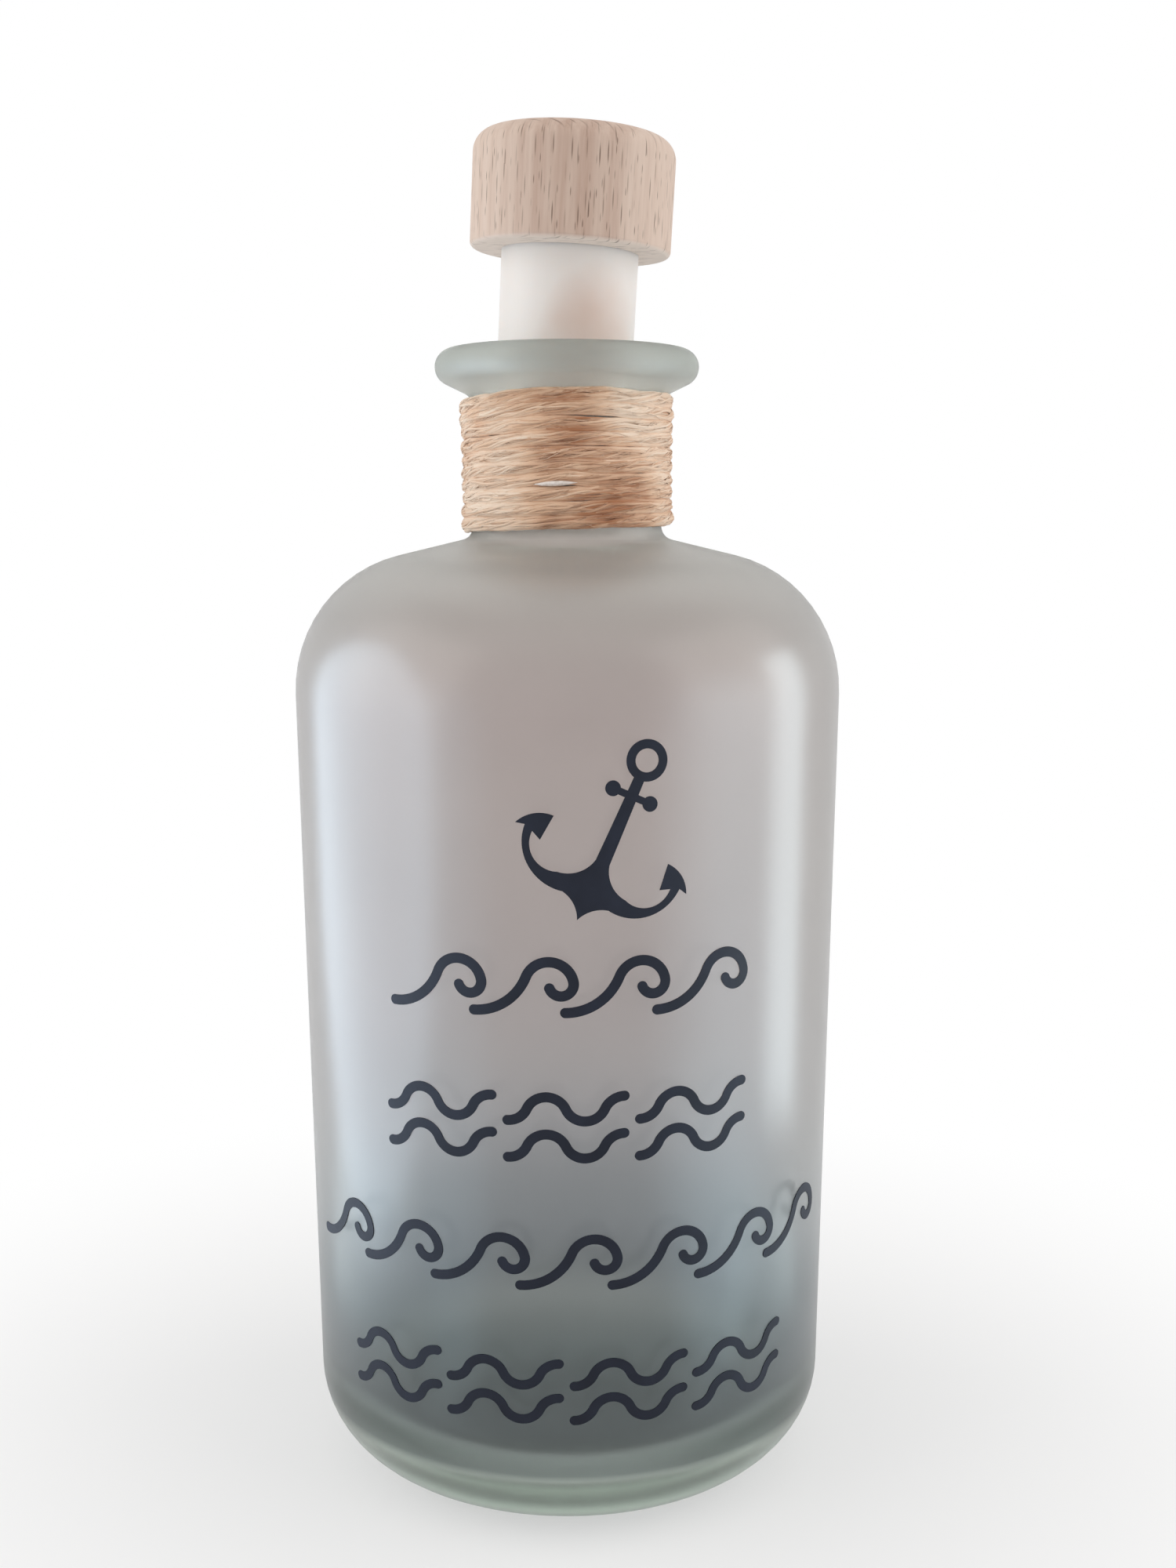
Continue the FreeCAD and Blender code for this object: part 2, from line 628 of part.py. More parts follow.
def draw_anchor_half(sketch):
    """Draw the right half of the anchor's shank, arm and fluke as one closed outline."""
    pivot = size("anchor_pivot_rise")
    names = list(ANCHOR_CORNERS)
    corners = [Vector(0, -pivot, 0)]
    for name in names:
        corners.append(Vector(size(f"anchor_{name}_reach"), size(f"anchor_{name}_rise") - pivot, 0))
    corners.append(Vector(0, corners[-1].y, 0))
    ends = []
    for name, near, far in zip(names, corners, corners[1:]):
        hollow = ANCHOR_CORNERS[name][2]
        if hollow:
            radius = math.copysign(size(f"anchor_{name}_radius"), hollow)
            edge = sketch.addGeometry(bulging_arc(near, far, radius), False)
            dimension(sketch, f"{name}_radius", f"Sizes.anchor_{name}_radius", "Radius", edge)
            ends.append((edge, START, END) if hollow > 0 else (edge, END, START))
        else:
            ends.append((sketch.addGeometry(line(near, far), False), START, END))
    ends.append((sketch.addGeometry(line(corners[-2], corners[-1]), False), START, END))
    ends.append((sketch.addGeometry(line(corners[-1], corners[0]), False), START, END))
    for (near, _, near_end), (far, far_start, _) in zip(ends, ends[1:] + ends[:1]):
        constrain(sketch, "Coincident", near, near_end, far, far_start)
    for name, (edge, _, finish) in zip(names, ends):
        rise = f"Sizes.anchor_{name}_rise - Sizes.anchor_pivot_rise"
        place_point(sketch, name, edge, finish, f"Sizes.anchor_{name}_reach", rise)
    top, axis = ends[-2][0], ends[-1][0]
    constrain(sketch, "Horizontal", top)
    constrain(sketch, "Vertical", axis)
    constrain(sketch, "PointOnObject", axis, START, VERTICAL_AXIS)
    dimension(sketch, "pivot_rise", "Sizes.anchor_pivot_rise", "DistanceY", axis, END, *ORIGIN)


def draw_anchor_ring(sketch):
    """Draw the ring at the top of the shank as two circles."""
    rise = size("anchor_ring_rise") - size("anchor_pivot_rise")
    for name in ("ring", "eye"):
        diameter = f"anchor_{name}_diameter"
        circle = Part.Circle(Vector(0, rise, 0), Vector(0, 0, 1), size(diameter) / 2)
        index = sketch.addGeometry(circle, False)
        constrain(sketch, "PointOnObject", index, CENTRE, VERTICAL_AXIS)
        height = "Sizes.anchor_ring_rise - Sizes.anchor_pivot_rise"
        dimension(sketch, f"{name}_height", height, "DistanceY", *ORIGIN, index, CENTRE)
        dimension(sketch, f"{name}_radius", f"Sizes.{diameter} / 2", "Radius", index)


def draw_anchor_stock(sketch):
    """Draw the stock across the shank: a bar with a round knob at each end, as one outline."""
    reach = size("anchor_knob_reach")
    radius = size("anchor_knob_diameter") / 2
    half = size("anchor_stock_thickness") / 2
    rise = size("anchor_stock_rise") - size("anchor_pivot_rise")
    opening = math.degrees(math.asin(half / radius))
    right = arc(Vector(reach, rise, 0), radius, opening - 180, 180 - opening)
    left = arc(Vector(-reach, rise, 0), radius, opening, 360 - opening)
    sketch.addGeometry([
        right,
        line(right.EndPoint, left.StartPoint),
        left,
        line(left.EndPoint, right.StartPoint),
    ], False)
    for near in range(4):
        constrain(sketch, "Coincident", near, END, (near + 1) % 4, START)
    constrain(sketch, "Horizontal", 1)
    constrain(sketch, "Horizontal", 3)
    constrain(sketch, "Horizontal", 0, CENTRE, 2, CENTRE)
    constrain(sketch, "Vertical", 0, START, 0, END)
    constrain(sketch, "Equal", 0, 2)
    height = "Sizes.anchor_stock_rise - Sizes.anchor_pivot_rise"
    place_point(sketch, "knob", 0, CENTRE, "Sizes.anchor_knob_reach", height)
    dimension(sketch, "left_knob", "Sizes.anchor_knob_reach", "DistanceX", 2, CENTRE, *ORIGIN)
    dimension(sketch, "knob_radius", "Sizes.anchor_knob_diameter / 2", "Radius", 0)
    dimension(sketch, "stock_thickness", "Sizes.anchor_stock_thickness", "DistanceY", 3, END, 1, START)


def make_anchor(shell):
    """Cut the tilted anchor from the film on the front of the wall."""
    body = new_body("AnchorBody")
    half_sketch = front_sketch(body, "AnchorHalf")
    draw_anchor_half(half_sketch)
    half = pad_into_wall(body, half_sketch, "AnchorHalfPad", "anchor_cut_depth")
    doc.recompute()
    mirrored = body.newObject("PartDesign::Mirrored", "AnchorMirrored")
    mirrored.Originals = [half]
    mirrored.MirrorPlane = (origin_feature(body, "YZ_Plane"), [""])
    body.Tip = mirrored
    doc.recompute()
    for name, draw in (("AnchorRing", draw_anchor_ring), ("AnchorStock", draw_anchor_stock)):
        sketch = front_sketch(body, name)
        draw(sketch)
        pad_into_wall(body, sketch, f"{name}Pad", "anchor_cut_depth")
        doc.recompute()
    turn = Rotation(Vector(0, 0, 1), size("anchor_bearing"))
    tilt = Rotation(Vector(0, 1, 0), size("anchor_tilt"))
    body.Placement = Placement(Vector(0, 0, size("wall_height") - size("anchor_drop")), turn.multiply(tilt))
    body.setExpression("Placement.Base.z", "Sizes.wall_height - Sizes.anchor_drop")
    return cut_from_film(body, shell, "anchor")


def draw_stroke(sketch, name, arcs, start, start_left, start_up):
    """Draw a round-ended stroke along a chain of tangent arcs that sets out level to the right.

    Each arc is a radius, a sweep in degrees, a turn (1 left, -1 right) and the expressions of the
    radius and the sweep. The start's expressions are its distances left of and above the origin.
    """
    half = size("stroke_width") / 2
    heading = 0.0
    place = start
    sides = []
    for radius, sweep, turn, _, _ in arcs:
        centre = place + direction(heading + 90 * turn) * radius
        first = heading - 90 * turn
        last = first + sweep * turn
        low, high = (first, last) if turn > 0 else (last, first)
        left = sketch.addGeometry(arc(centre, radius - half * turn, low, high), False)
        right = sketch.addGeometry(arc(centre, radius + half * turn, low, high), False)
        sides.append((left, right, START if turn > 0 else END, END if turn > 0 else START))
        place = centre + direction(last) * radius
        heading += sweep * turn
    back = sketch.addGeometry(arc(start, half, 90, 270), False)
    front = sketch.addGeometry(arc(place, half, heading - 90, heading + 90), False)
    for (left, right, _, done), (next_left, next_right, begin, _) in zip(sides, sides[1:]):
        constrain(sketch, "Tangent", left, done, next_left, begin)
        constrain(sketch, "Tangent", right, done, next_right, begin)
    first_left, first_right, begin, _ = sides[0]
    last_left, last_right, _, done = sides[-1]
    constrain(sketch, "Tangent", first_left, begin, back, START)
    constrain(sketch, "Tangent", first_right, begin, back, END)
    constrain(sketch, "Tangent", last_right, done, front, START)
    constrain(sketch, "Tangent", last_left, done, front, END)
    for left, right, _, _ in sides:
        constrain(sketch, "Coincident", left, CENTRE, right, CENTRE)
    constrain(sketch, "Vertical", back, CENTRE, first_left, CENTRE)
    dimension(sketch, f"{name}_start_left", start_left, "DistanceX", back, CENTRE, *ORIGIN)
    dimension(sketch, f"{name}_start_up", start_up, "DistanceY", *ORIGIN, back, CENTRE)
    dimension(sketch, f"{name}_width", "Sizes.stroke_width / 2", "Radius", back)
    for number, (side, bend) in enumerate(zip(sides, arcs), start=1):
        left = side[0]
        turn, radius_text, sweep_text = bend[2:]
        sign = "-" if turn > 0 else "+"
        side_radius = f"{radius_text} {sign} Sizes.stroke_width / 2"
        dimension(sketch, f"{name}_radius_{number}", side_radius, "Radius", left)
        dimension(sketch, f"{name}_sweep_{number}", sweep_text, "Angle", left)


def draw_curling_wave(sketch, row):
    """Draw one wave: a rising back, a crest that falls over and a curl inside it."""
    arcs = []
    for part, turn in (("back", 1), ("crest", -1), ("curl", -1)):
        radius, sweep = f"wave_{part}_radius", f"wave_{part}_sweep"
        arcs.append((size(radius), size(sweep), turn, f"Sizes.{radius}", f"Sizes.{sweep}"))
    pitch = f"{row}_row_pitch"
    start = Vector(-size(pitch) / 2, -size("wave_foot_drop"), 0)
    draw_stroke(sketch, "wave", arcs, start, f"Sizes.{pitch} / 2", "-Sizes.wave_foot_drop")


def draw_ripples(sketch):
    """Draw two rippled lines, one above the other."""
    radius = size("ripple_radius")
    sweep = size("ripple_sweep")
    half_sweep = math.radians(sweep / 2)
    length = "Sizes.ripple_radius"
    half_bend = (radius, sweep / 2, length, "Sizes.ripple_sweep / 2")
    bend = (radius, sweep, length, "Sizes.ripple_sweep")
    arcs = []
    for (bend_radius, bend_sweep, *texts), turn in zip((half_bend, bend, bend, half_bend), (1, -1, 1, -1)):
        arcs.append((bend_radius, bend_sweep, turn, *texts))
    lead = 3 * radius * math.sin(half_sweep)
    lead_text = "3 * Sizes.ripple_radius * sin(Sizes.ripple_sweep / 2)"
    level = radius * (1 - math.cos(half_sweep))
    level_text = "Sizes.ripple_radius * (1 - cos(Sizes.ripple_sweep / 2))"
    for name, side in (("lower", -1), ("upper", 1)):
        start = Vector(-lead, side * size("ripple_spacing") / 2 - level, 0)
        start_up = f"{side} * Sizes.ripple_spacing / 2 - {level_text}"
        draw_stroke(sketch, name, arcs, start, lead_text, start_up)


def make_wave_row(shell, row, number):
    """Cut one row of waves from the film, spread evenly about the front of the wall."""
    body = new_body(f"Row{number}Body")
    sketch = front_sketch(body, f"Row{number}Stroke")
    if row in CURLING_ROWS:
        draw_curling_wave(sketch, row)
    else:
        draw_ripples(sketch)
    stroke = pad_into_wall(body, sketch, f"Row{number}Pad", "stroke_cut_depth")
    doc.recompute()
    pattern = body.newObject("PartDesign::PolarPattern", f"Row{number}Pattern")
    pattern.Originals = [stroke]
    pattern.Axis = (origin_feature(body, "Z_Axis"), [""])
    spread = f"(Sizes.{row}_row_count - 1) * Sizes.{row}_row_pitch / (Sizes.body_diameter / 2) * 180 / pi"
    pattern.setExpression("Angle", spread)
    pattern.setExpression("Occurrences", f"Sizes.{row}_row_count")
    body.Tip = pattern
    # The row is turned back by half its spread, so that its middle is at the front.
    body.Placement = Placement(Vector(0, 0, 0), Rotation(Vector(0, 0, -1), 1))
    body.setExpression("Placement.Rotation.Angle", f"{spread} / 2")
    anchor_height = "Sizes.wall_height - Sizes.anchor_drop"
    last_height = "Sizes.heel_radius + Sizes.last_row_rise"
    share = f"{number} / {len(ROW_NAMES)}"
    height = f"({anchor_height}) * (1 - {share}) + ({last_height}) * {share}"
    body.setExpression("Placement.Base.z", height)
    return cut_from_film(body, shell, f"wave_row_{number}")


def make_pieces():
    """Build every piece of the bottle in the document and return them in order."""
    pieces = [make_glass_bottle(), make_twine_winding(), make_stopper_head(), make_stopper_plug()]
    shell = make_film_shell()
    pieces.append(make_anchor(shell))
    for number, row in enumerate(ROW_NAMES, start=1):
        pieces.append(make_wave_row(shell, row, number))
    doc.recompute()
    return pieces


def check(pieces):
    """Stop if any object failed to build or any piece has no sound shape."""
    for item in doc.Objects:
        if "Invalid" in item.State or "Error" in item.State:
            raise RuntimeError(f"{item.Label} failed to build: {item.State}")
    for piece in pieces:
        if piece.Shape.isNull() or not piece.Shape.isValid():
            raise RuntimeError(f"{piece.Label} has no valid shape")


def write(pieces):
    """Write each piece to a file of its own name."""
    os.makedirs("parts", exist_ok=True)
    for piece in pieces:
        piece.Shape.exportStep(f"parts/{piece.Label}.step")
        print(f"{piece.Label}: {len(piece.Shape.Solids)} solids, {piece.Shape.Volume:.1f} mm3")


all_pieces = make_pieces()
check(all_pieces)
write(all_pieces)
print(f"rim {rim_height():.2f} mm above the table")
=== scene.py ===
"""Frosted glass bottle with a beech-headed stopper, a neck wound with jute and dark film transfers."""
import logging
import math
import random
from dataclasses import dataclass
from enum import Enum
from typing import Any

import bmesh
import bpy
from bpy.types import ID, Material, Node, NodeSocket, NodeTree, Object
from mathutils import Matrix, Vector


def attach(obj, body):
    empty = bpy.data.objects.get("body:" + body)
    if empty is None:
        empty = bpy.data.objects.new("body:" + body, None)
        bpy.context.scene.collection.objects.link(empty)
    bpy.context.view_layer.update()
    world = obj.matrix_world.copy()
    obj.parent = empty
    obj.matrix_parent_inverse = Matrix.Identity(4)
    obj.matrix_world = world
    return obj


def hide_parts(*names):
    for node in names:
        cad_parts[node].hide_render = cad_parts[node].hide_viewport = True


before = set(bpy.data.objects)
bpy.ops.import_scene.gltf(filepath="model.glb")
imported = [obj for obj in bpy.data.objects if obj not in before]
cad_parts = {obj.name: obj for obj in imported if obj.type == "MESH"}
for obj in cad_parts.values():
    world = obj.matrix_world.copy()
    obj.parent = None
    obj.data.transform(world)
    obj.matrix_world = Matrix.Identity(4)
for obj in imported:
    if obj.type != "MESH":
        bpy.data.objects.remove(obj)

Pair = tuple[float, float]
Triple = tuple[float, float, float]
Colour = tuple[float, float, float, float]
Stops = tuple[tuple[float, str], ...]

MM = 0.001
POLE = 1e-6
UNIT: Pair = (0.0, 1.0)
WHITE = "FFFFFF"
SMOOTH = {"interpolation_type": "SMOOTHSTEP"}
# How matt the wall is outside. The inside is 0, and the neck and lip are 1.
WALL_FROST = 0.36
log = logging.getLogger("bottle")


class Body(Enum):
    """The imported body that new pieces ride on."""

    BOTTLE = "bottle"


class Slot(Enum):
    """The record's material slots."""

    GLASS = "frosted_glass"
    TWINE = "jute_twine"
    BEECH = "beech"
    PLUG = "milky_plug"
    FILM = "dark_film"


def linear(hex_code: str) -> Colour:
    """Turn an sRGB hex colour into linear light.

    Args:
        hex_code: Six hex digits, such as "D8C3B0".

    Returns:
        The linear red, green and blue, and an alpha of one.
    """
    channels = [int(hex_code[i:i + 2], 16) / 255 for i in (0, 2, 4)]
    bright = [c / 12.92 if c <= 0.04045 else ((c + 0.055) / 1.055) ** 2.4 for c in channels]
    return (*bright, 1.0)


def add(tree: NodeTree, kind: str, inputs: dict[Any, Any] | None = None, **settings: Any) -> Node:
    """Add one node with its settings, values and links.

    Args:
        tree: The tree that gets the node.
        kind: The node's type name. A shader node's goes without its prefix.
        inputs: By input name or number, a value, a socket to link, or a node whose first output is linked.
        **settings: Properties of the node.

    Returns:
        The new node.
    """
    node = tree.nodes.new(kind if "Node" in kind else f"ShaderNode{kind}")
    for name, value in settings.items():
        setattr(node, name, value)
    for key, value in (inputs or {}).items():
        source = value.outputs[0] if isinstance(value, Node) else value
        if isinstance(source, NodeSocket):
            tree.links.new(source, node.inputs[key])
        else:
            node.inputs[key].default_value = source
    return node


def ranged(value: Node | NodeSocket, source: Pair, target: Pair = UNIT, unit: float = 1.0) -> dict[int, Any]:
    """Return the inputs of a map range that takes one span to another.

    Args:
        value: What is mapped.
        source: The span that it is read in.
        target: The span that it is taken to.
        unit: What the source's unit is worth.

    Returns:
        The inputs by number.
    """
    return {0: value, 1: source[0] * unit, 2: source[1] * unit, 3: target[0], 4: target[1]}


def new_material(name: str) -> tuple[Material, NodeTree, NodeSocket]:
    """Start a material.

    Args:
        name: What the finish is.

    Returns:
        The material, its emptied node tree and the socket of a point's place on the piece, in metres.
    """
    material = bpy.data.materials.new(name)
    material.use_nodes = True
    tree = material.node_tree
    tree.nodes.clear()
    return material, tree, add(tree, "TexCoord").outputs["Object"]


def set_ramp(node: Node, stops: Stops) -> Node:
    """Give a colour ramp its stops.

    Args:
        node: The ramp.
        stops: Places from 0 to 1, each with its sRGB hex colour, in order.

    Returns:
        The ramp.
    """
    elements = node.color_ramp.elements
    while len(elements) < len(stops):
        elements.new(1.0)
    for element, (place, colour) in zip(elements, stops):
        element.position = place
        element.color = linear(colour)
    return node


def put(name: str, data: ID) -> Object:
    """Put a new object in the scene, at the origin.

    Args:
        name: The object's name.
        data: Its mesh, curve, light or camera.

    Returns:
        The object.
    """
    item = bpy.data.objects.new(name, data)
    bpy.context.scene.collection.objects.link(item)
    return item


def skin(name: str, rows: list[list[Triple]]) -> Object:
    """Close rows of points into one smooth object that faces outward.

    Args:
        name: The object's name.
        rows: Rings of points in millimetres, in order. A row of one point is a pole.

    Returns:
        The object, with its vertices in the order of the points.
    """
    mesh = bpy.data.meshes.new(name)
    work = bmesh.new()
    rings = [[work.verts.new([c * MM for c in point]) for point in row] for row in rows]
    sides = max(len(ring) for ring in rings)
    for low, high in zip(rings, rings[1:]):
        for step in range(sides):
            places = ((low, step), (low, step + 1), (high, step + 1), (high, step))
            corners = [ring[place % len(ring)] for ring, place in places]
            work.faces.new(list(dict.fromkeys(corners)))
    bmesh.ops.recalc_face_normals(work, faces=work.faces)
    for face in work.faces:
        face.smooth = True
    work.to_mesh(mesh)
    work.free()
    return put(name, mesh)


def coat(name: str, material: Material) -> Object:
    """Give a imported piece, which keeps its shape, its finish.

    Args:
        name: The piece's node.
        material: The finish.

    Returns:
        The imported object.
    """
    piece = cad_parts[name]
    piece.data.materials.clear()
    piece.data.materials.append(material)
    return piece


@dataclass(frozen=True)
class FrostedGlass:
    """Soda-lime glass, moulded, then acid-frosted outside: a matt, milky skin over clear, faintly green glass.

    The eye gets soft broad highlights, a grey see-through wall and green where the glass is thick. Its colour up
    the height also carries painted light and shade.
    """

    ior: float = 1.5
    roughness: Pair = (0.14, 0.52)
    see_through: Pair = (0.94, 0.82)
    inside_frost: float = 0.3
    # Painted shade on the inside of the floor: the heights it fades over and how dark it gets.
    floor_mm: Pair = (9.0, 18.0)
    floor_shade_tone: float = 0.22
    cloud_mm: float = 200 / 9
    cloud_range: Pair = (0.3, 0.7)
    cloud_tone: Pair = (0.96, 1.03)
    grain_mm: float = 0.5
    grain_depth_mm: float = 0.05
    iron_green: str = "CBDDD3"
    iron_density: float = 22.0
    ramp_height_mm: float = 170.0
    # Up the height the colour is partly the glass's own grey-green and partly painted: painted shade in a dark band
    # low on the wall and on the top of the lip, a painted pinkish reflection of the room on the middle of the wall,
    # painted light on the shoulder and under the lip.
    tint_light_and_shade: Stops = (
        (0.0, "ECF2E8"), (0.058, "F6FCF2"), (0.074, "7A8385"), (0.092, "7A8385"), (0.108, "8E959B"),
        (0.19, "9FA7AC"), (0.24, "C0C3C7"), (0.3, "CCCBCC"), (0.36, "D0CBCB"), (0.46, "D2CBCA"), (0.6, "D4CCCA"),
        (0.7, "D3CAC8"), (0.776, "D3CCC9"), (0.83, "EEE9E5"), (0.93, "EAE6E2"), (0.955, "F8F4F0"),
        (0.972, "DFDFDB"), (1.0, "C6CAC6"),
    )

    def make(self) -> Material:
        """Make the material.

        Returns:
            The glass, which reads the share of frosting from the attribute "frost".
        """
        material, tree, place = new_material("acid_frosted_glass")
        level = add(tree, "SeparateXYZ", {0: place}).outputs["Z"]
        height = add(tree, "MapRange", ranged(level, (0.0, self.ramp_height_mm), UNIT, MM))
        # The height ramp carries painted light and shade.
        tint_light_and_shade = set_ramp(add(tree, "ValToRGB", {0: height}), self.tint_light_and_shade)
        cloud = add(tree, "TexNoise", {"Vector": place, "Scale": 1 / (self.cloud_mm * MM), "Detail": 2.0})
        shade = add(tree, "MapRange", ranged(cloud, self.cloud_range, self.cloud_tone))
        frost = add(tree, "Attribute", attribute_name="frost").outputs["Fac"]
        # Painted shade: inside, the floor of the thick foot is darkened for the dark ground seen through it, so it
        # shows as a dark pool from above.
        inner = add(tree, "MapRange", ranged(frost, (0.0, self.inside_frost), (1.0, 0.0)))
        pool = add(tree, "MapRange", ranged(level, self.floor_mm, (self.floor_shade_tone, 1.0), MM))
        pool_shade = add(tree, "Math", {0: pool, 1: inner}, operation="POWER")
        tone = add(tree, "Math", {0: shade, 1: pool_shade}, operation="MULTIPLY")
        colour = add(tree, "VectorMath", {0: tint_light_and_shade, "Scale": tone}, operation="SCALE")
        clear = add(tree, "MapRange", ranged(frost, (WALL_FROST, 1.0), self.see_through))
        rough = add(tree, "MapRange", ranged(frost, UNIT, self.roughness))
        grain = add(tree, "TexNoise", {"Vector": place, "Scale": 1 / (self.grain_mm * MM), "Detail": 3.0})
        bump = add(tree, "Bump", {"Height": grain, "Strength": 0.12, "Distance": self.grain_depth_mm * MM})
        surface = add(tree, "BsdfPrincipled", {
            "Base Color": colour, "Roughness": rough, "IOR": self.ior, "Transmission Weight": clear, "Normal": bump,
        })
        # The green of the iron in the glass shows through the thick base and lip.
        depth = add(tree, "VolumeAbsorption", {"Color": linear(self.iron_green), "Density": self.iron_density})
        add(tree, "OutputMaterial", {"Surface": surface, "Volume": depth})
        return material


@dataclass(frozen=True)
class JuteYarn:
    """Jute, loosely spun: dry matt bast fibre, tan to brown, streaked along its length."""

    tones: Stops = ((0.41, "F8E4D0"), (0.6, "E8C4A6"), (0.8, "AE7652"))
    ply_mm: float = 9.0
    ply_share: float = 0.5
    patch_mm: float = 8.0
    patch_share: float = 0.35
    streak_mm: float = 0.3
    streak_run_mm: float = 5.0
    streak_share: float = 0.24
    streak_depth_mm: float = 0.08
    girth_mm: float = 1.3
    lane_step: float = 5.3
    # From here the fields darken the front: partly browning of the jute, partly painted shade.
    band_slant: float = 0.3
    band_height_mm: float = 154.0
    band_mm: Pair = (1.0, 11.0)
    band_tone: Pair = (0.13, -0.06)
    stain_and_shade_at_mm: Triple = (6.0, -13.5, 145.0)
    stain_and_shade_mm: Pair = (2.0, 12.5)
    stain_and_shade_tone: Pair = (0.22, -0.06)
    front_mm: Pair = (-6.0, 2.0)

    def make(self) -> Material:
        """Make the material.

        Returns:
            The jute, which reads the attributes "along", "strand" and "around" of the strands.
        """
        material, tree, place = new_material("spun_jute")
        names = ("along", "strand", "around")
        along, strand, around = (add(tree, "Attribute", attribute_name=name).outputs["Fac"] for name in names)
        lane = add(tree, "Math", {0: strand, 1: self.lane_step}, operation="MULTIPLY")
        far = add(tree, "Math", {0: along, 1: 1 / (self.ply_mm * MM)}, operation="MULTIPLY")
        ply_spot = add(tree, "CombineXYZ", {0: far, 1: lane})
        ply = add(tree, "TexNoise", {"Vector": ply_spot, "Scale": 1.0, "Detail": 1.5})
        run = add(tree, "Math", {0: along, 1: 1 / (self.streak_run_mm * MM)}, operation="MULTIPLY")
        across = add(tree, "Math", {0: around, 1: self.girth_mm / self.streak_mm}, operation="MULTIPLY")
        grain = add(tree, "CombineXYZ", {0: run, 1: across, 2: lane})
        streak = add(tree, "TexNoise", {"Vector": grain, "Scale": 1.0, "Detail": 4.0, "Roughness": 0.65})
        patch = add(tree, "TexNoise", {"Vector": place, "Scale": 1 / (self.patch_mm * MM), "Detail": 2.0})
        # The yarn is darker at the front, in a slanting band and most of all low on the right: partly browning of
        # the jute, partly painted shade, as the light falls from the sides.
        slope = (1.0, 0.0, self.band_slant)
        slant = add(tree, "VectorMath", {0: place, 1: slope}, operation="DOT_PRODUCT").outputs["Value"]
        middle = self.band_slant * self.band_height_mm * MM
        off = add(tree, "Math", {0: slant, 1: middle}, operation="SUBTRACT")
        aside = add(tree, "Math", {0: off}, operation="ABSOLUTE")
        band = add(tree, "MapRange", ranged(aside, self.band_mm, self.band_tone, MM), **SMOOTH)
        stain_and_shade_at = [c * MM for c in self.stain_and_shade_at_mm]
        stain_and_shade = add(tree, "VectorMath", {0: place, 1: stain_and_shade_at}, operation="DISTANCE").outputs["Value"]
        spot = add(tree, "MapRange", ranged(stain_and_shade, self.stain_and_shade_mm, self.stain_and_shade_tone, MM), **SMOOTH)
        browned_and_shaded = add(tree, "Math", {0: band, 1: spot}, operation="MAXIMUM")
        behind = add(tree, "SeparateXYZ", {0: place}).outputs["Y"]
        front = add(tree, "MapRange", ranged(behind, self.front_mm, (1.0, 0.0), MM))
        tone = add(tree, "Math", {0: browned_and_shaded, 1: front}, operation="MULTIPLY")
        for source, share in ((ply, self.ply_share), (patch, self.patch_share), (streak, self.streak_share)):
            tone = add(tree, "Math", {0: source, 1: share, 2: tone}, operation="MULTIPLY_ADD")
        colour = set_ramp(add(tree, "ValToRGB", {0: tone}), self.tones)
        bump = add(tree, "Bump", {"Height": streak, "Strength": 0.6, "Distance": self.streak_depth_mm * MM})
        surface = add(tree, "BsdfPrincipled", {
            "Base Color": colour, "Roughness": 0.85, "Specular IOR Level": 0.25,
            "Sheen Weight": 0.25, "Sheen Roughness": 0.5, "Normal": bump,
        })
        add(tree, "OutputMaterial", {"Surface": surface})
        return material


@dataclass(frozen=True)
class RayFlecks:
    """One size of ray fleck: its cells, its half sizes and the share of bare cells. Lengths are millimetres."""

    spacing: float
    length: float
    half_width: float
    half_length: float
    bare: float


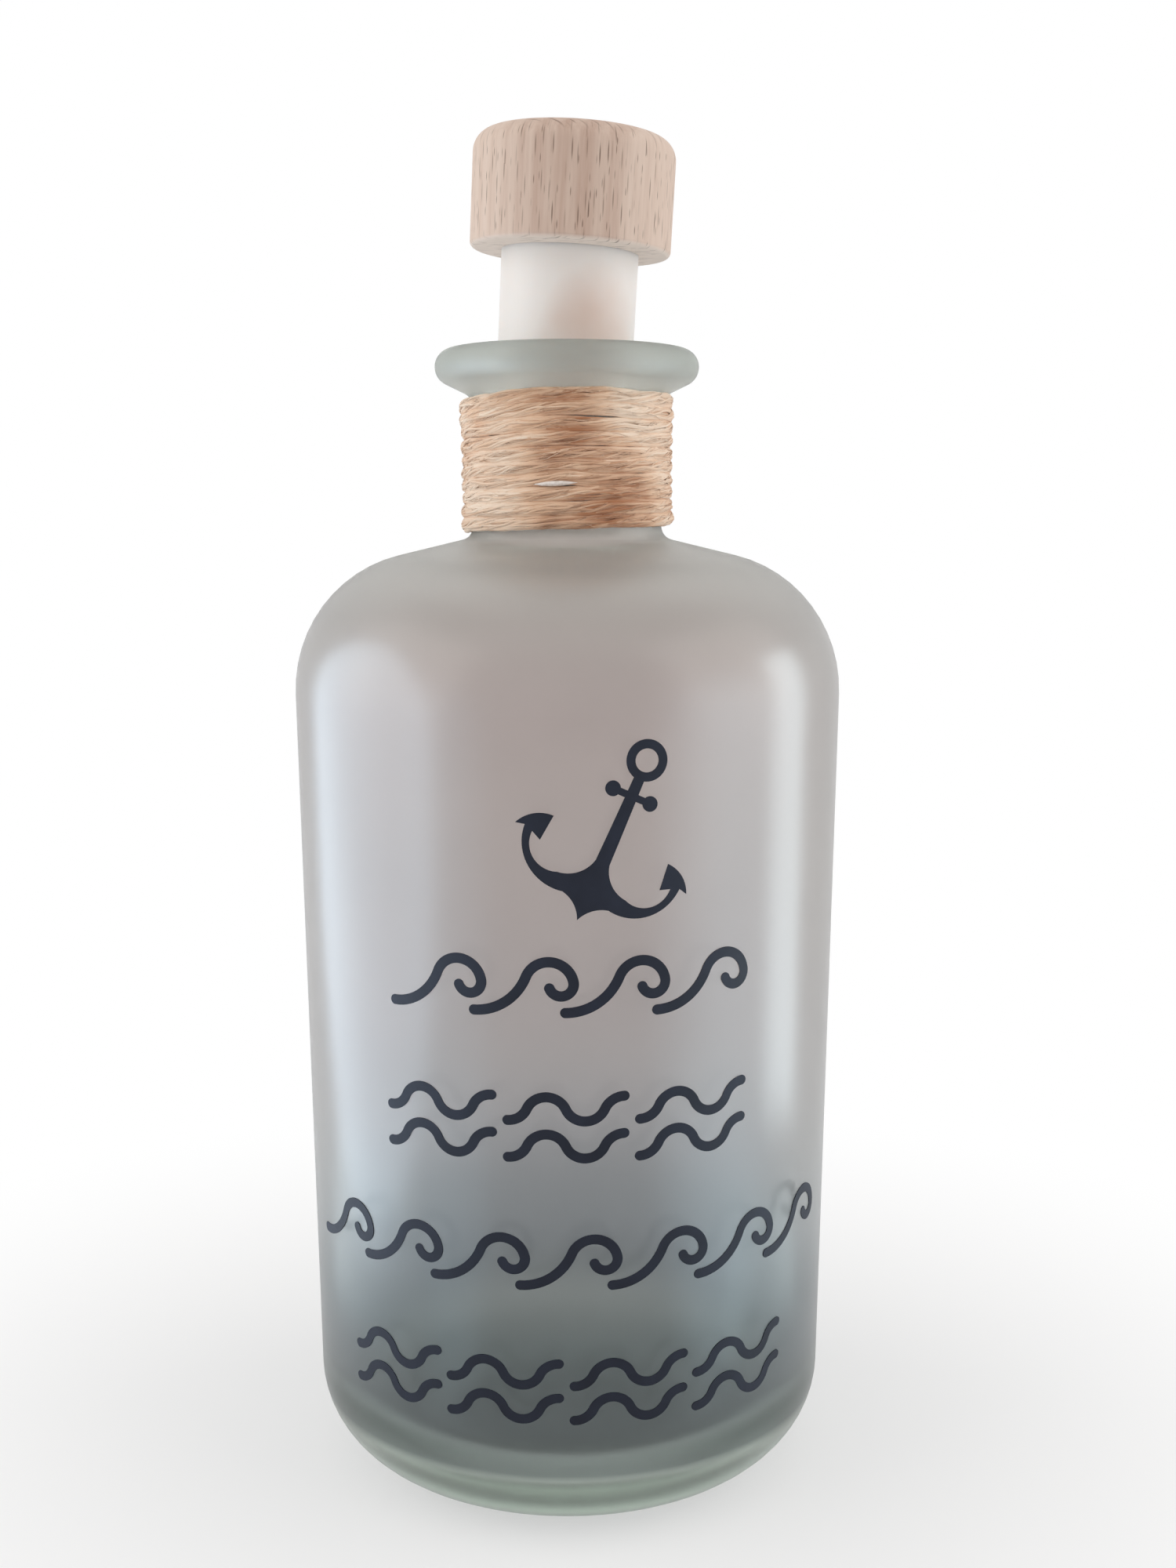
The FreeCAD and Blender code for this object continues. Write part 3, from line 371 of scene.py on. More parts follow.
@dataclass(frozen=True)
class Beech:
    """Steamed beech, turned and sanded, unvarnished: pinkish tan, with short dark ray flecks along the grain."""

    centre_mm: Triple
    lean_deg: float
    radius_mm: float
    height_mm: float
    pith_mm: Triple = (-46.0, 21.0, 0.0)
    ray_radius_mm: float = 50.0
    ring_mm: float = 2.6
    ring_tone: float = 0.06
    below_top_mm: Pair = (1.9, 0.3)
    above_foot_mm: Pair = (0.5, 0.05)
    coarse: RayFlecks = RayFlecks(1.2, 4.4, 0.14, 1.9, 0.1)
    fine: RayFlecks = RayFlecks(0.85, 2.3, 0.1, 0.8, 0.5)
    fleck_edge: Pair = (1.0, 0.25)
    fleck_share: float = 0.85
    fleck_colour: str = "6B5547"
    fibres_per_mm: Triple = (1.7, 1.7, 0.1)
    fibre_tone: Pair = (0.28, 0.72)
    fibre_relief: float = 0.4
    # Painted shade: the front of the head darker, its sides lighter.
    band_mm: Pair = (2.0, 15.0)
    band_tone: Pair = (-0.2, 0.06)
    tones: Stops = ((0.15, "BDA090"), (0.5, "D7C1B2"), (0.8, "E0CDC0"))
    # Painted light: the underside is paler, for light bounced up from the floor.
    foot_bounce_light: str = "EFE2D8"
    relief_mm: float = 0.05

    def make(self) -> Material:
        """Make the material.

        Returns:
            The wood, for a head at the place and lean that the fields give.
        """
        material, tree, place = new_material("sanded_beech")
        # From here lengths are millimetres in the head's own upright frame.
        own = add(tree, "Mapping", {
            "Vector": place, "Location": [c * MM for c in self.centre_mm],
            "Rotation": (0.0, math.radians(self.lean_deg), 0.0), "Scale": (MM, MM, MM),
        }, vector_type="TEXTURE")
        x, y, z = add(tree, "SeparateXYZ", {0: own}).outputs
        ahead = add(tree, "Math", {0: y, 1: -1.0}, operation="MULTIPLY")
        angle = add(tree, "Math", {0: x, 1: ahead}, operation="ARCTAN2")
        arc = add(tree, "Math", {0: angle, 1: self.radius_mm}, operation="MULTIPLY")
        side = add(tree, "CombineXYZ", {0: arc, 1: z})
        # End grain: growth rings and rays about a pith that lies outside the head.
        from_pith = add(tree, "VectorMath", {0: own, 1: self.pith_mm}, operation="SUBTRACT")
        pith_x, pith_y, _ = add(tree, "SeparateXYZ", {0: from_pith}).outputs
        flat = add(tree, "CombineXYZ", {0: pith_x, 1: pith_y})
        reach = add(tree, "VectorMath", {0: flat}, operation="LENGTH").outputs["Value"]
        turn = add(tree, "Math", {0: pith_x, 1: pith_y}, operation="ARCTAN2")
        swing = add(tree, "Math", {0: turn, 1: self.ray_radius_mm}, operation="MULTIPLY")
        end = add(tree, "CombineXYZ", {0: swing, 1: reach})
        below, above = (self.height_mm - depth for depth in self.below_top_mm)
        top = add(tree, "MapRange", ranged(z, (below, above)))
        foot = add(tree, "MapRange", ranged(z, self.above_foot_mm))
        is_end = add(tree, "Math", {0: top, 1: foot}, operation="MAXIMUM")
        marks = []
        for fleck in (self.coarse, self.fine):
            pair = []
            for grain in (side, end):
                cells = add(tree, "VectorMath", {
                    0: grain, 1: (1 / fleck.spacing, 1 / fleck.length, 1.0),
                }, operation="MULTIPLY")
                cell = add(tree, "TexVoronoi", {"Vector": cells, "Scale": 1.0}, voronoi_dimensions="2D")
                away = add(tree, "VectorMath", {0: cells, 1: cell.outputs["Position"]}, operation="SUBTRACT")
                shape = add(tree, "VectorMath", {
                    0: away, 1: (fleck.spacing / fleck.half_width, fleck.length / fleck.half_length, 0.0),
                }, operation="MULTIPLY")
                far = add(tree, "VectorMath", {0: shape}, operation="LENGTH").outputs["Value"]
                dark = add(tree, "MapRange", ranged(far, self.fleck_edge), **SMOOTH)
                chance = add(tree, "SeparateColor", {0: cell.outputs["Color"]})
                shown = add(tree, "MapRange", ranged(chance, (fleck.bare, 1.0)))
                pair.append(add(tree, "Math", {0: dark, 1: shown}, operation="MULTIPLY"))
            marks.append(add(tree, "Mix", {0: is_end, 2: pair[0], 3: pair[1]}))
        flecks = add(tree, "Math", {0: marks[0], 1: marks[1]}, operation="MAXIMUM")
        lines = add(tree, "VectorMath", {0: own, 1: self.fibres_per_mm}, operation="MULTIPLY")
        fibre = add(tree, "TexNoise", {"Vector": lines, "Scale": 1.0, "Detail": 4.0, "Roughness": 0.6})
        ring = add(tree, "Math", {0: reach, 1: 2 * math.pi / self.ring_mm}, operation="MULTIPLY")
        wave = add(tree, "Math", {0: ring}, operation="SINE")
        calm = add(tree, "MapRange", ranged(fibre, UNIT, self.fibre_tone))
        rings = add(tree, "Math", {0: wave, 1: self.ring_tone, 2: calm}, operation="MULTIPLY_ADD")
        # Painted shade: a darker band runs down the front and the sides are lighter, where the side light falls.
        off_front = add(tree, "Math", {0: arc}, operation="ABSOLUTE")
        band = add(tree, "MapRange", ranged(off_front, self.band_mm, self.band_tone), **SMOOTH)
        toned = add(tree, "Math", {0: rings, 1: band}, operation="ADD")
        ground = set_ramp(add(tree, "ValToRGB", {0: toned}), self.tones)
        strength = add(tree, "Math", {0: flecks, 1: self.fleck_share}, operation="MULTIPLY")
        colour = ground.outputs[0]
        # The underside is lifted with painted light, then the ray flecks darken the wood.
        for share, hex_code in ((foot, self.foot_bounce_light), (strength, self.fleck_colour)):
            colour = add(tree, "Mix", {0: share, 6: colour, 7: linear(hex_code)}, data_type="RGBA").outputs[2]
        relief = add(tree, "Math", {0: fibre, 1: self.fibre_relief, 2: flecks}, operation="MULTIPLY_ADD")
        bump = add(tree, "Bump", {"Height": relief, "Strength": 0.25, "Distance": self.relief_mm * MM}, invert=True)
        surface = add(tree, "BsdfPrincipled", {
            "Base Color": colour, "Roughness": 0.62, "Specular IOR Level": 0.35, "Normal": bump,
        })
        add(tree, "OutputMaterial", {"Surface": surface})
        return material


@dataclass(frozen=True)
class MilkyPlastic:
    """Polyethylene, moulded: a soft, waxy, milky white that lets a little light in."""

    tones: Stops = ((0.05, "F1EDEA"), (0.3, "EFE9E5"), (0.85, "D4B9AA"))
    cloud_mm: float = 7.0
    cloud_share: float = 0.25
    # A tan smudge, mostly a painted reflection of the lip and the wood head, partly dirt.
    smudge_reflection_at_mm: Triple = (3.6, -9.0, 170.6)
    smudge_reflection_mm: Pair = (0.5, 12.5)
    smudge_reflection_tone: float = 0.56
    fine_mm: float = 0.4
    fine_depth_mm: float = 0.03
    roughness: Pair = (0.5, 0.62)
    light_depth_mm: float = 3.0

    def make(self) -> Material:
        """Make the material.

        Returns:
            The plastic, with a tan smudge where the plug meets the mouth: mostly a painted reflection of the lip
            and the wood head, partly dirt.
        """
        material, tree, place = new_material("moulded_polyethylene")
        cloud = add(tree, "TexNoise", {"Vector": place, "Scale": 1 / (self.cloud_mm * MM), "Detail": 2.0})
        # Painted reflection, partly dirt: the tan smudge low on the plug.
        smudge_reflection_at = [c * MM for c in self.smudge_reflection_at_mm]
        smudge_reflection = add(tree, "VectorMath", {0: place, 1: smudge_reflection_at}, operation="DISTANCE").outputs["Value"]
        reflected_smudge = add(tree, "MapRange", ranged(smudge_reflection, self.smudge_reflection_mm, (self.smudge_reflection_tone, 0.0), MM), **SMOOTH)
        smudged = add(tree, "Math", {0: cloud, 1: self.cloud_share, 2: reflected_smudge}, operation="MULTIPLY_ADD")
        colour = set_ramp(add(tree, "ValToRGB", {0: smudged}), self.tones)
        fine = add(tree, "TexNoise", {"Vector": place, "Scale": 1 / (self.fine_mm * MM), "Detail": 2.0})
        rough = add(tree, "MapRange", ranged(fine, UNIT, self.roughness))
        bump = add(tree, "Bump", {"Height": fine, "Strength": 0.08, "Distance": self.fine_depth_mm * MM})
        surface = add(tree, "BsdfPrincipled", {
            "Base Color": colour, "Roughness": rough, "IOR": 1.51, "Normal": bump,
            "Subsurface Weight": 0.6, "Subsurface Radius": (1.0, 0.85, 0.75),
            "Subsurface Scale": self.light_depth_mm * MM,
        })
        add(tree, "OutputMaterial", {"Surface": surface})
        return material


@dataclass(frozen=True)
class VinylFilm:
    """Calendered vinyl film, cut and rubbed down: flat charcoal blue with a dull gloss."""

    tones: Stops = ((0.3, "191C27"), (0.7, "212532"))
    cloud_mm: float = 5.0
    peel_mm: float = 0.6
    peel_depth_mm: float = 0.02
    roughness: Pair = (0.5, 0.62)

    def make(self) -> Material:
        """Make the material.

        Returns:
            The film.
        """
        material, tree, place = new_material("matt_vinyl_film")
        cloud = add(tree, "TexNoise", {"Vector": place, "Scale": 1 / (self.cloud_mm * MM), "Detail": 3.0})
        colour = set_ramp(add(tree, "ValToRGB", {0: cloud}), self.tones)
        peel = add(tree, "TexNoise", {"Vector": place, "Scale": 1 / (self.peel_mm * MM), "Detail": 2.0})
        rough = add(tree, "MapRange", ranged(peel, UNIT, self.roughness))
        bump = add(tree, "Bump", {"Height": peel, "Strength": 0.15, "Distance": self.peel_depth_mm * MM})
        surface = add(tree, "BsdfPrincipled", {
            "Base Color": colour, "Roughness": rough, "Specular IOR Level": 0.18, "Normal": bump,
        })
        add(tree, "OutputMaterial", {"Surface": surface})
        return material


@dataclass(frozen=True)
class GlintFinish:
    """A pale, waxy, glossy finish with a few cloudy spots, for the bead that is a painted glint."""

    tones: Stops = ((0.35, "D9CCC2"), (0.65, "EEE6E0"))
    cloud_mm: float = 0.6
    cloud_depth_mm: float = 0.05

    def make(self) -> Material:
        """Make the material.

        Returns:
            The bead's pale finish.
        """
        material, tree, place = new_material("painted_glint")
        cloud = add(tree, "TexNoise", {"Vector": place, "Scale": 1 / (self.cloud_mm * MM), "Detail": 2.0})
        colour = set_ramp(add(tree, "ValToRGB", {0: cloud}), self.tones)
        bump = add(tree, "Bump", {"Height": cloud, "Strength": 0.2, "Distance": self.cloud_depth_mm * MM})
        surface = add(tree, "BsdfPrincipled", {
            "Base Color": colour, "Roughness": 0.25, "IOR": 1.48, "Normal": bump,
        })
        add(tree, "OutputMaterial", {"Surface": surface})
        return material


@dataclass
class GlassBottle:
    """The moulded bottle, turned from the section of its glass. Lengths are millimetres, angles degrees."""

    wall_radius: float = 40.0
    wall_top: float = 120.4
    wall_thickness: float = 3.8
    heel_radius: float = 15.1
    foot_ring_width: float = 5.0
    punt_depth: float = 2.4
    shoulder_radius: float = 20.1
    shoulder_slope: float = 13.2
    neck_radius: float = 13.65
    neck_foot_radius: float = 2.0
    neck_foot_height: float = 144.1
    rim_height: float = 168.1
    lip_overhang: float = 5.1
    lip_edge_radius: float = 2.4
    lip_underside_slope: float = 25.0
    lip_root_radius: float = 1.6
    mouth_radius: float = 10.25
    mouth_edge_radius: float = 0.9
    base_thickness: float = 8.0
    inner_heel_radius: float = 11.0
    frost_rise: float = 8.0
    frost_run: float = 14.0
    segments: int = 256
    bend_degrees: int = 6
    least_bends: int = 4
    wall_steps: int = 24
    floor_steps: int = 6

    def bend(self, centre: Pair, radius: float, first: float, last: float) -> list[Pair]:
        """Return points along an arc of the section, ends included.

        Args:
            centre: The arc's centre, as distance from the axis and height.
            radius: The arc's radius.
            first: The angle that it starts at.
            last: The angle that it ends at.

        Returns:
            The points in order.
        """
        steps = max(self.least_bends, int(abs(last - first) / self.bend_degrees))
        angles = [math.radians(first + (last - first) * i / steps) for i in range(steps + 1)]
        return [(centre[0] + radius * math.cos(a), centre[1] + radius * math.sin(a)) for a in angles]

    def outside(self) -> list[Pair]:
        """Follow the outer half of the section.

        Returns:
            Its points, from the punt's middle to the mouth's edge.
        """
        slope, under = self.shoulder_slope, self.lip_underside_slope
        wall, heel, neck = self.wall_radius, self.heel_radius, self.neck_radius
        foot, edge, mouth = self.neck_foot_radius, self.lip_edge_radius, self.mouth_edge_radius
        ring = wall - heel - self.foot_ring_width
        dome = (ring ** 2 + self.punt_depth ** 2) / (2 * self.punt_depth)
        dome_end = math.degrees(math.asin((dome - self.punt_depth) / dome))
        lip = (neck + self.lip_overhang - edge, self.rim_height - edge)
        start = self.bend(lip, edge, under - 90, under - 90)[0]
        root_height = start[1] - (start[0] - neck) * math.tan(math.radians(under))
        # A small hollow softens the corner between neck and lip.
        root = self.lip_root_radius
        root_centre = (neck + root, root_height - root * math.tan(math.radians((90 - under) / 2)))
        return [
            *self.bend((0.0, self.punt_depth - dome), dome, 90, dome_end),
            *self.bend((wall - heel, heel), heel, -90, 0),
            *((wall, heel + (self.wall_top - heel) * i / self.wall_steps) for i in range(1, self.wall_steps)),
            *self.bend((wall - self.shoulder_radius, self.wall_top), self.shoulder_radius, 0, 90 - slope),
            *self.bend((neck + foot, self.neck_foot_height), foot, 270 - slope, 180),
            *self.bend(root_centre, root, 180, 90 + under),
            *self.bend(lip, edge, under - 90, 90),
            *self.bend((self.mouth_radius + mouth, self.rim_height - mouth), mouth, 90, 180),
        ]

    def inside(self) -> list[Pair]:
        """Follow the inner half of the section.

        Returns:
            Its points, from the foot of the bore to the middle of the floor.
        """
        slope, top, floor = self.shoulder_slope, self.wall_top, self.base_thickness
        wall = self.wall_radius - self.wall_thickness
        shoulder = self.shoulder_radius - self.wall_thickness
        foot = self.neck_foot_radius + self.wall_thickness
        shoulder_centre = (self.wall_radius - self.shoulder_radius, top)
        start = self.bend(shoulder_centre, shoulder, 90 - slope, 90 - slope)[0]
        run = start[0] - self.mouth_radius - foot
        rise = run * math.tan(math.radians(slope)) + foot / math.cos(math.radians(slope))
        heel = (wall - self.inner_heel_radius, floor + self.inner_heel_radius)
        return [
            *self.bend((self.mouth_radius + foot, start[1] + rise), foot, 180, 270 - slope),
            *self.bend(shoulder_centre, shoulder, 90 - slope, 0),
            *((wall, top + (heel[1] - top) * i / self.wall_steps) for i in range(1, self.wall_steps)),
            *self.bend(heel, self.inner_heel_radius, 0, -90),
            *((heel[0] * (1 - i / self.floor_steps), floor) for i in range(1, self.floor_steps + 1)),
        ]

    def frosting(self, height: float) -> float:
        """Return how matt the outside is: the acid bit deeper into the neck and lip than into the wall.

        Args:
            height: Height above the foot.

        Returns:
            A share from 0, clear, to 1, matt.
        """
        share = min(max((height - self.wall_top - self.frost_rise) / self.frost_run, 0.0), 1.0)
        return WALL_FROST + (1 - WALL_FROST) * share

    def build(self) -> Object:
        """Turn the section into one closed mesh and mark where it is frosted.

        Returns:
            The bottle's object.
        """
        outside, inside = self.outside(), self.inside()
        rows: list[list[Triple]] = []
        shares: list[float] = []
        for index, (radius, height) in enumerate(outside + inside):
            count = 1 if radius < POLE else self.segments
            angles = [2 * math.pi * step / count for step in range(count)]
            rows.append([(radius * math.cos(a), radius * math.sin(a), height) for a in angles])
            shares += [self.frosting(height) if index < len(outside) else 0.0] * count
        bottle = skin("glass", rows)
        frost = bottle.data.attributes.new("frost", "FLOAT", "POINT")
        frost.data.foreach_set("value", shares)
        return bottle

    def dress(self, bottle: Object, finish: FrostedGlass) -> None:
        """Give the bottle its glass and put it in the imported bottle's place.

        Args:
            bottle: The bottle's object.
            finish: The glass.
        """
        bottle.data.materials.append(finish.make())
        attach(bottle, Body.BOTTLE.value)
        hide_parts("glass_bottle")


@dataclass(frozen=True)
class Bundle:
    """How the strands of a yarn lie about its route. Lengths are millimetres."""

    name: str
    strands: int
    strand_radius: float
    offset: float
    lay: float
    spacing: float
    sides: int
    wander: float
    flatness: float
    seed: int


@dataclass
class JuteWinding:
    """Ten close turns of jute round the neck, each turn a loose bundle of strands.

    Lengths are millimetres, angles degrees. A reach is how far a bulge or gap goes round the neck and up it.
    """

    turns: int = 10
    pitch: float = 1.76
    route_radius: float = 14.55
    stand_off: float = 1.006
    start_height: float = 143.9
    points_per_turn: int = 24
    seed: int = 7
    wobble: float = 0.1
    wobble_kept: float = 0.72
    radius_slack: Pair = (-0.1, 0.14)
    gap_height: float = 149.2
    gap_angle: float = -96.0
    gap_reach: Pair = (3.2, 2.4)
    gap_opening: float = 0.45
    gap_rise: float = 0.4
    hump_angle: float = -94.0
    hump_reach: float = 9.0
    hump_turns: Pair = (3.0, 9.5)
    top_hump: float = 0.75
    bulges: tuple[Triple, ...] = ((180.0, 159.4, 0.8), (178.0, 145.2, 0.5), (2.0, 145.0, 0.5))
    bulge_reach: Pair = (2.2, 0.8)
    tuck_points: int = 4
    tuck_shift: float = 1.0
    tuck_depth: float = 0.5
    thin_share: float = 0.8
    end_thickness: float = 0.25
    lane_step: float = 9.7
    noise_range: Pair = (0.25, 0.75)
    stray_run: Pair = (10.0, 0.0)
    spread_run: Pair = (7.0, 31.0)
    swell_run: Pair = (6.5, 67.0)
    spread: float = 0.2
    swell: float = 0.28
    bundles: tuple[Bundle, ...] = (
        Bundle("jute_yarn", 8, 0.38, 0.66, 40.0, 1.1, 7, 0.5, 0.2, 3),
        Bundle("jute_plies", 15, 0.19, 0.69, 44.0, 0.9, 5, 1.2, 0.72, 5),
        Bundle("jute_fibres", 26, 0.06, 0.86, 52.0, 1.2, 3, 1.7, 0.7, 11),
    )

    def arc(self, angle: float, other: float) -> float:
        """Return the shorter way round the neck from one angle to another."""
        return math.radians((angle - other + 180) % 360 - 180) * self.route_radius

    def route(self) -> Object:
        """Lead the yarn round the neck.

        Returns:
            Its route, as one smooth curve that starts and ends behind the neck.
        """
        dice = random.Random(self.seed)
        count = self.turns * self.points_per_turn
        data = bpy.data.curves.new("route", "CURVE")
        data.dimensions = "3D"
        spline = data.splines.new("NURBS")
        spline.points.add(count)
        shift = [0.0] * (count + 1)
        for index in range(1, count + 1):
            shift[index] = self.wobble_kept * shift[index - 1] + dice.uniform(-self.wobble, self.wobble)
        first, last = self.hump_turns
        for index in range(count + 1):
            turn = index / self.points_per_turn
            angle = 90 + 360 * turn
            height = self.start_height + self.pitch * turn + shift[index]
            radius = self.route_radius * self.stand_off + dice.uniform(*self.radius_slack)
            # Two turns part in front, where the pale bead, a painted glint, shows.
            above = height - self.gap_height
            off_gap = self.arc(angle, self.gap_angle)
            opening = math.exp(-(off_gap / self.gap_reach[0]) ** 2 - (above / self.gap_reach[1]) ** 2)
            height += math.copysign(self.gap_opening * opening, above) + self.gap_rise * opening
            # The last turns ride up under the lip in front.
            ridge = math.exp(-(self.arc(angle, self.hump_angle) / self.hump_reach) ** 2)
            height += self.top_hump * ridge * min(max((turn - first) / (last - first), 0.0), 1.0)
            for bulge_angle, bulge_height, amount in self.bulges:
                side = self.arc(angle, bulge_angle) / self.bulge_reach[0]
                up = (height - bulge_height) / self.bulge_reach[1]
                radius += amount * math.exp(-side ** 2 - up ** 2)
            # Each end slips under the turn beside it.
            tuck = max(1 - index / self.tuck_points, 1 - (count - index) / self.tuck_points, 0.0)
            height += math.copysign(self.tuck_shift * tuck, count / 2 - index)
            radius -= self.tuck_depth * tuck
            across = math.radians(angle)
            place = (radius * math.cos(across), radius * math.sin(across), height)
            spline.points[index].co = (*(c * MM for c in place), 1.0)
        spline.use_endpoint_u = True
        spline.order_u = 3
        spline.resolution_u = 4
        return put("route", data)

    def strand_tree(self) -> NodeTree:
        """Make the node tree that lays twisted strands along a route and gives them thickness.

        Returns:
            The tree, with an input for each value of a bundle.
        """
        tree = bpy.data.node_groups.new("yarn_strands", "GeometryNodeTree")
        face = tree.interface
        for name, kind in (
            ("Geometry", "Geometry"), ("Strands", "Int"), ("Strand Radius", "Float"), ("Offset", "Float"),
            ("Lay", "Float"), ("Spacing", "Float"), ("Sides", "Int"), ("Wander", "Float"), ("Flatness", "Float"),
            ("Seed", "Float"), ("Material", "Material"),
        ):
            face.new_socket(name, in_out="INPUT", socket_type=f"NodeSocket{kind}")
        face.new_socket("Geometry", in_out="OUTPUT", socket_type="NodeSocketGeometry")
        given = add(tree, "NodeGroupInput").outputs
        even = add(tree, "GeometryNodeResampleCurve", {
            "Curve": given["Geometry"], "Length": given["Spacing"],
        }, mode="LENGTH")
        copies = add(tree, "GeometryNodeDuplicateElements", {
            "Geometry": even, "Amount": given["Strands"],
        }, domain="SPLINE")
        spline = add(tree, "GeometryNodeSplineParameter").outputs
        length = spline["Length"]
        kept = copies
        for name, value in (("along", length), ("strand", copies.outputs["Duplicate Index"])):
            kept = add(tree, "GeometryNodeStoreNamedAttribute", {"Geometry": kept, "Name": name, "Value": value})
        lane = add(tree, "GeometryNodeInputNamedAttribute", {"Name": "strand"})
        seeded = add(tree, "Math", {0: lane, 1: self.lane_step, 2: given["Seed"]}, operation="MULTIPLY_ADD")
        noises = []
        for run_length, layer in (self.stray_run, self.spread_run, self.swell_run):
            run = add(tree, "Math", {0: length, 1: 1 / (run_length * MM)}, operation="MULTIPLY")
            spot = add(tree, "CombineXYZ", {0: run, 1: seeded, 2: layer})
            noise = add(tree, "TexNoise", {"Vector": spot, "Scale": 1.0, "Detail": 1.0})
            noises.append(add(tree, "MapRange", ranged(noise, self.noise_range, (-1.0, 1.0))))
        # The yarn thins out where its ends are tucked in.
        tail = self.thin_share * self.tuck_points / (self.turns * self.points_per_turn)
        rise = add(tree, "MapRange", ranged(spline["Factor"], (0.0, tail), (self.end_thickness, 1.0)))
        fall = add(tree, "MapRange", ranged(spline["Factor"], (1 - tail, 1.0), (1.0, self.end_thickness)))
        thinned = add(tree, "Math", {0: rise, 1: fall}, operation="MULTIPLY")
        turned = add(tree, "Math", {0: length, 1: given["Lay"]}, operation="DIVIDE")
        share = add(tree, "Math", {0: lane, 1: given["Strands"]}, operation="DIVIDE")
        circled = add(tree, "Math", {0: turned, 1: share}, operation="ADD")
        stray = add(tree, "Math", {0: noises[0], 1: given["Wander"]}, operation="MULTIPLY")
        phase = add(tree, "Math", {0: circled, 1: 2 * math.pi, 2: stray}, operation="MULTIPLY_ADD")
        sizes = []
        for noise, amount, size in ((noises[1], self.spread, "Offset"), (noises[2], self.swell, "Strand Radius")):
            uneven = add(tree, "Math", {0: noise, 1: amount, 2: 1.0}, operation="MULTIPLY_ADD")
            slim = add(tree, "Math", {0: uneven, 1: thinned}, operation="MULTIPLY")
            sizes.append(add(tree, "Math", {0: slim, 1: given[size]}, operation="MULTIPLY"))
        reach, thick = sizes
        place = add(tree, "GeometryNodeInputPosition")
        level = add(tree, "VectorMath", {0: place, 1: (1.0, 1.0, 0.0)}, operation="MULTIPLY")
        outward = add(tree, "VectorMath", {0: level}, operation="NORMALIZE")
        # The yarn lies flat on the glass, so strands spread further along the neck than out from it.
        out_part = add(tree, "Math", {0: phase}, operation="COSINE")
        out_flat = add(tree, "Math", {0: out_part, 1: given["Flatness"]}, operation="MULTIPLY")
        out_reach = add(tree, "Math", {0: out_flat, 1: reach}, operation="MULTIPLY")
        up_part = add(tree, "Math", {0: phase}, operation="SINE")
        up_reach = add(tree, "Math", {0: up_part, 1: reach}, operation="MULTIPLY")
        out_move = add(tree, "VectorMath", {0: outward, "Scale": out_reach}, operation="SCALE")
        up_move = add(tree, "CombineXYZ", {2: up_reach})
        move = add(tree, "VectorMath", {0: out_move, 1: up_move}, operation="ADD")
        laid = add(tree, "GeometryNodeSetPosition", {"Geometry": kept, "Offset": move})
        sized = add(tree, "GeometryNodeSetCurveRadius", {"Curve": laid, "Radius": thick})
        ring = add(tree, "GeometryNodeCurvePrimitiveCircle", {"Resolution": given["Sides"], "Radius": 1.0})
        marked = add(tree, "GeometryNodeStoreNamedAttribute", {
            "Geometry": ring, "Name": "around", "Value": spline["Factor"],
        })
        radius = add(tree, "GeometryNodeInputRadius")
        tube = add(tree, "GeometryNodeCurveToMesh", {
            "Curve": sized, "Profile Curve": marked, "Scale": radius, "Fill Caps": True,
        })
        smooth = add(tree, "GeometryNodeSetShadeSmooth", {"Geometry": tube, "Shade Smooth": True})
        real = add(tree, "GeometryNodeRealizeInstances", {"Geometry": smooth})
        dressed = add(tree, "GeometryNodeSetMaterial", {"Geometry": real, "Material": given["Material"]})
        add(tree, "NodeGroupOutput", {"Geometry": dressed})
        return tree

    def lay(self, curve: Object, tree: NodeTree, bundle: Bundle, material: Material) -> Object:
        """Lay one bundle of strands along the route as a plain mesh.

        Args:
            curve: The route.
            tree: The tree that lays strands.
            bundle: How the strands lie.
            material: The yarn's finish.

        Returns:
            The bundle's object.
        """
        modifier = curve.modifiers.new(bundle.name, "NODES")
        modifier.node_group = tree
        values = {
            "Strands": bundle.strands, "Strand Radius": bundle.strand_radius * MM, "Offset": bundle.offset * MM,
            "Lay": bundle.lay * MM, "Spacing": bundle.spacing * MM, "Sides": bundle.sides,
            "Wander": bundle.wander, "Flatness": bundle.flatness, "Seed": float(bundle.seed), "Material": material,
        }
        for item in tree.interface.items_tree:
            if item.in_out == "INPUT" and item.name in values:
                modifier[item.identifier] = values[item.name]
        bpy.context.view_layer.update()
        evaluated = curve.evaluated_get(bpy.context.evaluated_depsgraph_get())
        mesh = bpy.data.meshes.new_from_object(evaluated)
        curve.modifiers.remove(modifier)
        mesh.name = bundle.name
        return put(bundle.name, mesh)

    def build(self, finish: JuteYarn) -> list[Object]:
        """Wind the yarn and its loose surface fibres.

        Args:
            finish: The jute.

        Returns:
            The objects of the core, the plies and the fibres.
        """
        material = finish.make()
        curve = self.route()
        tree = self.strand_tree()
        pieces = [self.lay(curve, tree, bundle, material) for bundle in self.bundles]
        bpy.data.objects.remove(curve)
        return pieces

    def dress(self, pieces: list[Object]) -> None:
        """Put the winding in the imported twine's place.

        Args:
            pieces: The objects of the core, the plies and the fibres.
        """
        for piece in pieces:
            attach(piece, Body.BOTTLE.value)
        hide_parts("twine_winding")


